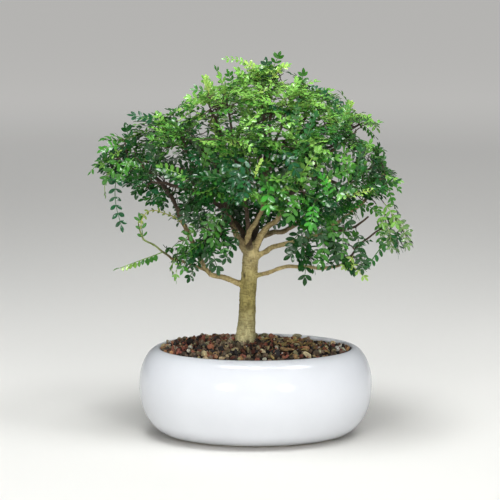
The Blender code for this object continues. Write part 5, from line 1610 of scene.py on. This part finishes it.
def spray_job(name, rng):
    """The twigs of one spray and the number of leaves it wants: twigs fan out from the nearest limb, for leaves to
    stand along in turn.
    """
    cx, cy, cz, rx, ry, rz = SPRAYS[name]
    centre = Vector((cx, cy, cz))
    size = (rx * ry * rz) ** (1 / 3)
    shadowed = name.startswith(("inner", "low_back"))
    want = int(round(LEAVES_PER_SPRAY * (size / 26) ** 2 * (0.75 if shadowed else 1.0) * DENSITY.get(name, 1.0)))
    joints = []  # (point, direction, radius)
    for limb, rows in SKELETON.items():
        if limb == "trunk":
            continue
        for i in range(2, len(rows)):
            row = rows[i]
            if row.w > 3.3:
                continue
            p = row.xyz
            if (p - centre).length < max(rx, ry, rz) + 16:
                d = unit(rows[min(i + 1, len(rows) - 1)].xyz - rows[i - 1].xyz)
                joints.append((p, d, row.w, 0.0))
    if not joints:
        limb, rows = min(((l, r) for l, r in SKELETON.items() if l != "trunk"), key=lambda lr: min((row.xyz - centre).length for row in lr[1]))
        row = min(rows, key=lambda r: (r.xyz - centre).length)
        joints.append((row.xyz, unit(centre - row.xyz), row.w, 0.0))
    count = max(5, round(want / 5.0))
    ends = []
    turn = Matrix.Rotation(rng.uniform(0, 6.28), 3, "Z") @ Matrix.Rotation(rng.uniform(0, 0.6), 3, "X")
    for i in range(count):
        z = 1 - 2 * (i + 0.5) / count
        angle = i * 2.39996
        direction = turn @ Vector((math.sqrt(1 - z * z) * math.cos(angle), math.sqrt(1 - z * z) * math.sin(angle), z))
        reach = pad_reach(name, direction)
        share = rng.uniform(0.40, 0.74)
        ends.append(centre + direction * reach * share)
    start = joints[0][0]
    ends.sort(key=lambda e: min((e - j[0]).length for j in joints))
    twigs = []
    for end in ends:
        best, cost = None, 1e9
        for joint in joints:
            line = end - joint[0]
            length = line.length
            if length < 5:
                continue
            bend = line.normalized().dot(joint[1])
            c = length * (1.35 - 0.45 * bend) + joint[3] * 0.25
            if c < cost:
                best, cost = joint, c
        if best is None:
            continue
        p, d, radius, _ = best
        line = end - p
        length = line.length
        out = unit(outward(end) + Vector((0, 0, 0.35)))
        t0 = unit(unit(line) * 1.0 + d * 0.55) * length
        t1 = unit(unit(line) + out * 0.5 + Vector(rng.normal(size=3)) * 0.15) * length
        path = hermite(p, t0, end, t1, 7)
        for k in range(1, 7):
            path[k] = path[k] + Vector(rng.normal(size=3)) * 0.35
        thick = min(0.95, radius * 0.62 + 0.15) * rng.uniform(0.85, 1.1)
        radii = [max(0.40, thick * (1 - 0.55 * k / 7)) for k in range(8)]
        twigs.append((path, radii))
        for k in range(2, 8):
            joints.append((path[k], unit(path[k] - path[k - 1]), radii[k], length * k / 7))
    return centre, want, twigs


def grow_leaves(shapes, name, centre, want, twigs, rng):
    slots = []
    for path, radii in twigs:
        total = sum((path[i + 1] - path[i]).length for i in range(len(path) - 1))
        walked, hand = 0.0, 1
        nxt = min(6.0, total * 0.3)
        for i in range(len(path) - 1):
            seg = path[i + 1] - path[i]
            length = seg.length
            while walked + length > nxt:
                t = (nxt - walked) / length
                slots.append((path[i] + seg * t, unit(seg), hand, nxt / total))
                hand = -hand
                nxt += SLOT_STEP * rng.uniform(0.85, 1.15)
            walked += length
        d = unit(path[-1] - path[-2])
        for spread in (0.35, -0.35):
            slots.append((path[-1], d, spread, 1.0))
    order = rng.permutation(len(slots))
    made = leaflets = 0
    for index in order:
        if made >= want:
            break
        base, d, hand, share = slots[index]
        out = outward(base)
        flat = out.copy()
        low = min(1.0, max(0.0, (238 - base.z) / 60))
        top = min(1.0, max(0.0, (base.z - 226) / 62))
        face = unit(UP * (0.62 + 1.35 * top) + flat * (0.90 - 0.55 * top) + Vector(rng.normal(size=3)) * 0.33)
        best, score, keep = None, -1e9, None
        for trial in range(9):
            spread = abs(hand) * (1 if hand > 0 else -1)
            angle = (math.radians(rng.uniform(30, 85)) if abs(hand) == 1 else math.radians(rng.uniform(5, 35))) * (1 if hand > 0 else -1)
            if trial >= 6:
                angle = -angle
            plane = unit(across(face, d), face)
            direction = d * math.cos(angle) + plane.cross(d) * math.sin(angle)
            direction = unit(direction + flat * 0.45 + Vector((0, 0, -1)) * (0.62 * low * (0.4 + 0.6 * out.length) - 0.26 * top) + Vector(rng.normal(size=3)) * 0.14)
            normal = unit(across(face, direction), UP)
            droop = 0.10 + 0.10 * low + 0.05 * rng.normal()
            scale = rng.uniform(0.80, 1.02) * (1 - 0.08 * (share > 0.95)) * (1.06 - 0.22 * top)
            for pairs in (6, 5, 4, 3, 2):
                leaf = Leaf(base, direction, normal, pairs, scale, droop)
                over = max(outside(leaf.tip), outside(leaf.middle))
                if over < MARGIN + 1.5 * rng.random() + (4.0 if 188 < base.z < 216 and direction.z < -0.2 else 0.0):
                    break
            else:
                continue
            if in_gap([f[0] for f in leaf.frames], 1.5).mean() > 0.34:
                continue
            s = pairs * 1.0 + 0.16 * min(crowding(leaf.middle), 14.0)
            s -= 0.8 * max(0.0, 0.35 - direction.dot(unit(flat + Vector((0, 0, 0.3 - 0.8 * low))))) 
            if s > score:
                best, score = leaf, s
        if best is None:
            continue
        MIDDLES.append(best.middle[:])
        tone = leaf_tone(best.middle, name, rng)
        leaflets += best.make(shapes, tone, rng)
        made += 1
    return made, leaflets


LEAVES_PER_SPRAY = 47
SLOT_STEP = 3.7
MARGIN = 1.0
DENSITY = {
    "low_left_outer": 0.42, "low_left_inner": 0.52, "low_right_inner": 0.50, "low_right": 0.36, "low_right_far": 0.45,
    "right_front": 0.80, "right_far": 0.60, "right_back": 0.50, "upper_right": 0.75, "upper_right_back": 0.70,
    "upper_left": 0.80, "left_front": 0.80, "left_far": 0.85, "left_back": 0.80, "inner_left": 0.85, "inner_right": 0.95,
    "back_right": 0.70, "back_left": 0.70, "back_middle": 0.80, "low_back_right": 0.50, "low_back_left": 0.55,
    "front_middle": 1.15, "front_left": 1.05, "front_right": 1.10, "upper_front": 1.20, "upper_front_right": 1.20,
    "crown_front_left": 1.30, "crown_front_right": 1.30, "crown_apex": 1.25, "crown_left": 1.25, "crown_right": 1.20,
    "upper_left_front": 1.10,
}


def build_foliage():
    twig = twig_material()
    slots = {}
    for sub in frame["record"]["subparts"]:
        slots[sub["node"]] = sub["material_slot"]
    leaf_mats = {slot: leaf_material(f"{slot}_look") for slot in ("leaf_mid_green", "leaf_deep_green", "leaf_young_green")}
    stalk = twig_material()
    stalk.name = "leaf_stalk"
    total = [0, 0]
    limb_points = [row.xyz for limb, rows in SKELETON.items() if limb != "trunk" for row in rows[4:]]
    spray_points = []
    for index, name in enumerate(SPRAYS):
        rng = np.random.default_rng(100 + index)
        centre, want, twigs = spray_job(name, rng)
        spray_points += [q for path, _ in twigs for q in path[1:]]
        shapes = Shapes()
        for t, (path, radii) in enumerate(twigs):
            # twigs high in the crown take the darkest bark, partly painted shade
            dark = DARK_BARK_AND_SHADE * rng.uniform(0.8, 1.7) if path[0].z > 185 else BROWN * rng.uniform(0.7, 1.2)
            cell = shapes.cells
            shapes.cells += 1
            add_tube(shapes, path, radii, 6, 2, dark, rough=0.12, seed=t * 2.3, cell=cell)
        made, leaflets = grow_leaves(shapes, name, centre, want, twigs, rng)
        joints = limb_points + [q for path, _ in twigs for q in path[1:]]
        for piece, tone, face, pairs, size, points in FEATURES:
            if piece == f"spray_{name}":
                base = Vector(points[0])
                # the twigs that tie leaves in take the darkest bark too, partly painted shade
                tie_twig(shapes, base, Vector(points[1]) - base, joints, rng, DARK_BARK_AND_SHADE * 1.3)
                line_leaf(shapes, tone, face, pairs, size, points, rng)
        total[0] += made
        total[1] += leaflets
        print("spray", name, "slots", len(twigs), "want", want, "made", made, "tris", sum(2 if len(f) == 4 else 1 for f in shapes.faces))
        slot = slots[f"leaves_{name}"]
        obj = shapes.make(f"spray_{name}", [leaf_mats[slot], stalk, twig])
        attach(obj, "root")
        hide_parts(f"leaves_{name}")
    # leaves that stand clear of the sprays
    for index, name in enumerate(LEAVES):
        rng = np.random.default_rng(900 + index)
        shapes = Shapes()
        for piece, tone, face, pairs, size, points in FEATURES:
            if piece == name:
                base = Vector(points[0])
                tie_twig(shapes, base, Vector(points[1]) - base, limb_points + spray_points, rng, BROWN)
                line_leaf(shapes, tone, face, pairs, size, points, rng)
        slot = slots[name]
        obj = shapes.make(f"{name}_detailed", [leaf_mats[slot], stalk, twig])
        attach(obj, "root")
        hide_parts(name)
    print("leaves", total)


# ---------------------------------------------------------------- the stage

def build_stage():
    """A plain pale floor that runs out to the horizon on every side."""
    floor = bpy.data.meshes.new("floor")
    sides, radii = 96, [0.6, 1.2, 2.4, 4.8, 9.0, 18.0, 40.0]
    verts, faces = [(0.0, 0.0, 0.0)], []
    for radius in radii:
        for i in range(sides):
            angle = 2 * math.pi * i / sides
            verts.append((radius * math.cos(angle), radius * math.sin(angle), 0.0))
    for i in range(sides):
        j = (i + 1) % sides
        faces.append((0, 1 + i, 1 + j))
        for ring in range(len(radii) - 1):
            near, far = 1 + ring * sides, 1 + (ring + 1) * sides
            faces.append((near + i, far + i, far + j, near + j))
    floor.from_pydata(verts, [], faces)
    obj = bpy.data.objects.new("studio_floor", floor)
    bpy.context.scene.collection.objects.link(obj)
    n = Nodes("pale_floor")
    where = n.place()
    far = n.add("ShaderNodeVectorMath", operation="LENGTH")
    n.link(where, far.inputs[0])
    n.set(Base_Color=(0.74, 0.725, 0.69, 1), Roughness=0.9, Emission_Color=(1.0, 0.985, 0.955, 1))
    n.link(n.range(far.outputs["Value"], 0.5, 4.0, 0.0, 0.34, smooth=True), n.shader.inputs["Emission Strength"])
    floor.materials.append(n.mat)


def add_light(name, where, aim, width, height, power, colour=(1, 1, 1), spread=180.0):
    data = bpy.data.lights.new(name, "AREA")
    data.shape = "RECTANGLE"
    data.size, data.size_y = width, height
    data.energy = power
    data.spread = math.radians(spread)
    data.color = colour
    obj = bpy.data.objects.new(name, data)
    bpy.context.scene.collection.objects.link(obj)
    obj.location = where
    obj.rotation_euler = (Vector(aim) - Vector(where)).to_track_quat("-Z", "Y").to_euler()
    obj.visible_camera = False
    return obj


def build_lights():
    world = bpy.data.worlds.new("studio")
    world.use_nodes = True
    world.node_tree.nodes["Background"].inputs["Color"].default_value = (0.95, 0.97, 1.0, 1)
    world.node_tree.nodes["Background"].inputs["Strength"].default_value = 0.16
    # the studio's far walls look paler than the light they give
    tree = world.node_tree
    light_path = tree.nodes.new("ShaderNodeLightPath")
    walls = tree.nodes.new("ShaderNodeBackground")
    walls.inputs["Color"].default_value = (0.52, 0.515, 0.50, 1)
    mixed = tree.nodes.new("ShaderNodeMixShader")
    tree.links.new(light_path.outputs["Is Camera Ray"], mixed.inputs[0])
    tree.links.new(tree.nodes["Background"].outputs[0], mixed.inputs[1])
    tree.links.new(walls.outputs[0], mixed.inputs[2])
    tree.links.new(mixed.outputs[0], tree.nodes["World Output"].inputs["Surface"])
    bpy.context.scene.world = world
    bpy.context.scene.view_settings.view_transform = "Standard"
    aim = (0.0, 0.0, 0.16)
    add_light("front_left", (-0.863, -2.05, 0.589), aim, 0.22, 0.22, 1.12, (1.0, 0.995, 0.98), spread=60.0)
    add_light("front_right", (0.897, -2.05, 0.577), aim, 0.22, 0.22, 0.98, (1.0, 0.995, 0.98), spread=60.0)
    add_light("overhead", (-0.15, -0.45, 1.9), (0, 0, 0.1), 0.78, 0.78, 31, (0.95, 0.98, 1.0))
    add_light("overhead_right", (0.70, -0.55, 1.7), (0, 0, 0.1), 0.50, 0.50, 9.5, (0.96, 0.98, 1.0))
    fill = add_light("front_fill", (0.15, -2.3, 1.35), (0, 0, 0.15), 1.6, 1.0, 13, (1.0, 0.99, 0.97))
    fill.visible_glossy = False
    back = add_light("back_fill", (0.5, 2.6, 1.2), (0, 0, 0.2), 1.8, 1.4, 2.3, (1.0, 0.99, 0.97), spread=80.0)
    back.visible_glossy = False


def build_camera():
    data = bpy.data.cameras.new("camera")
    data.sensor_width = 36.0
    data.lens = 2150 / 500 * 36
    data.clip_start, data.clip_end = 0.05, 60.0
    obj = bpy.data.objects.new("camera", data)
    bpy.context.scene.collection.objects.link(obj)
    obj.location = (-0.00505792 + 0.0044, -1.9018766 - 0.0046, 0.4555788)
    obj.rotation_euler = Euler((math.radians(90 - 8.595911), 0, 0))
    bpy.context.scene.camera = obj


# ---------------------------------------------------------------- the whole object

build_camera()
build_lights()
build_stage()
build_pot(glaze_material())
for screen in ("drain_screen_left", "drain_screen_right"):
    node = frame["nodes"][screen]
    look = screen_material()
    for slot_index in range(max(1, len(node.material_slots))):
        if slot_index < len(node.material_slots):
            node.material_slots[slot_index].material = look
        else:
            node.data.materials.append(look)
build_bed()
build_grains()
build_stones()
build_wood(bark_material())
build_foliage()
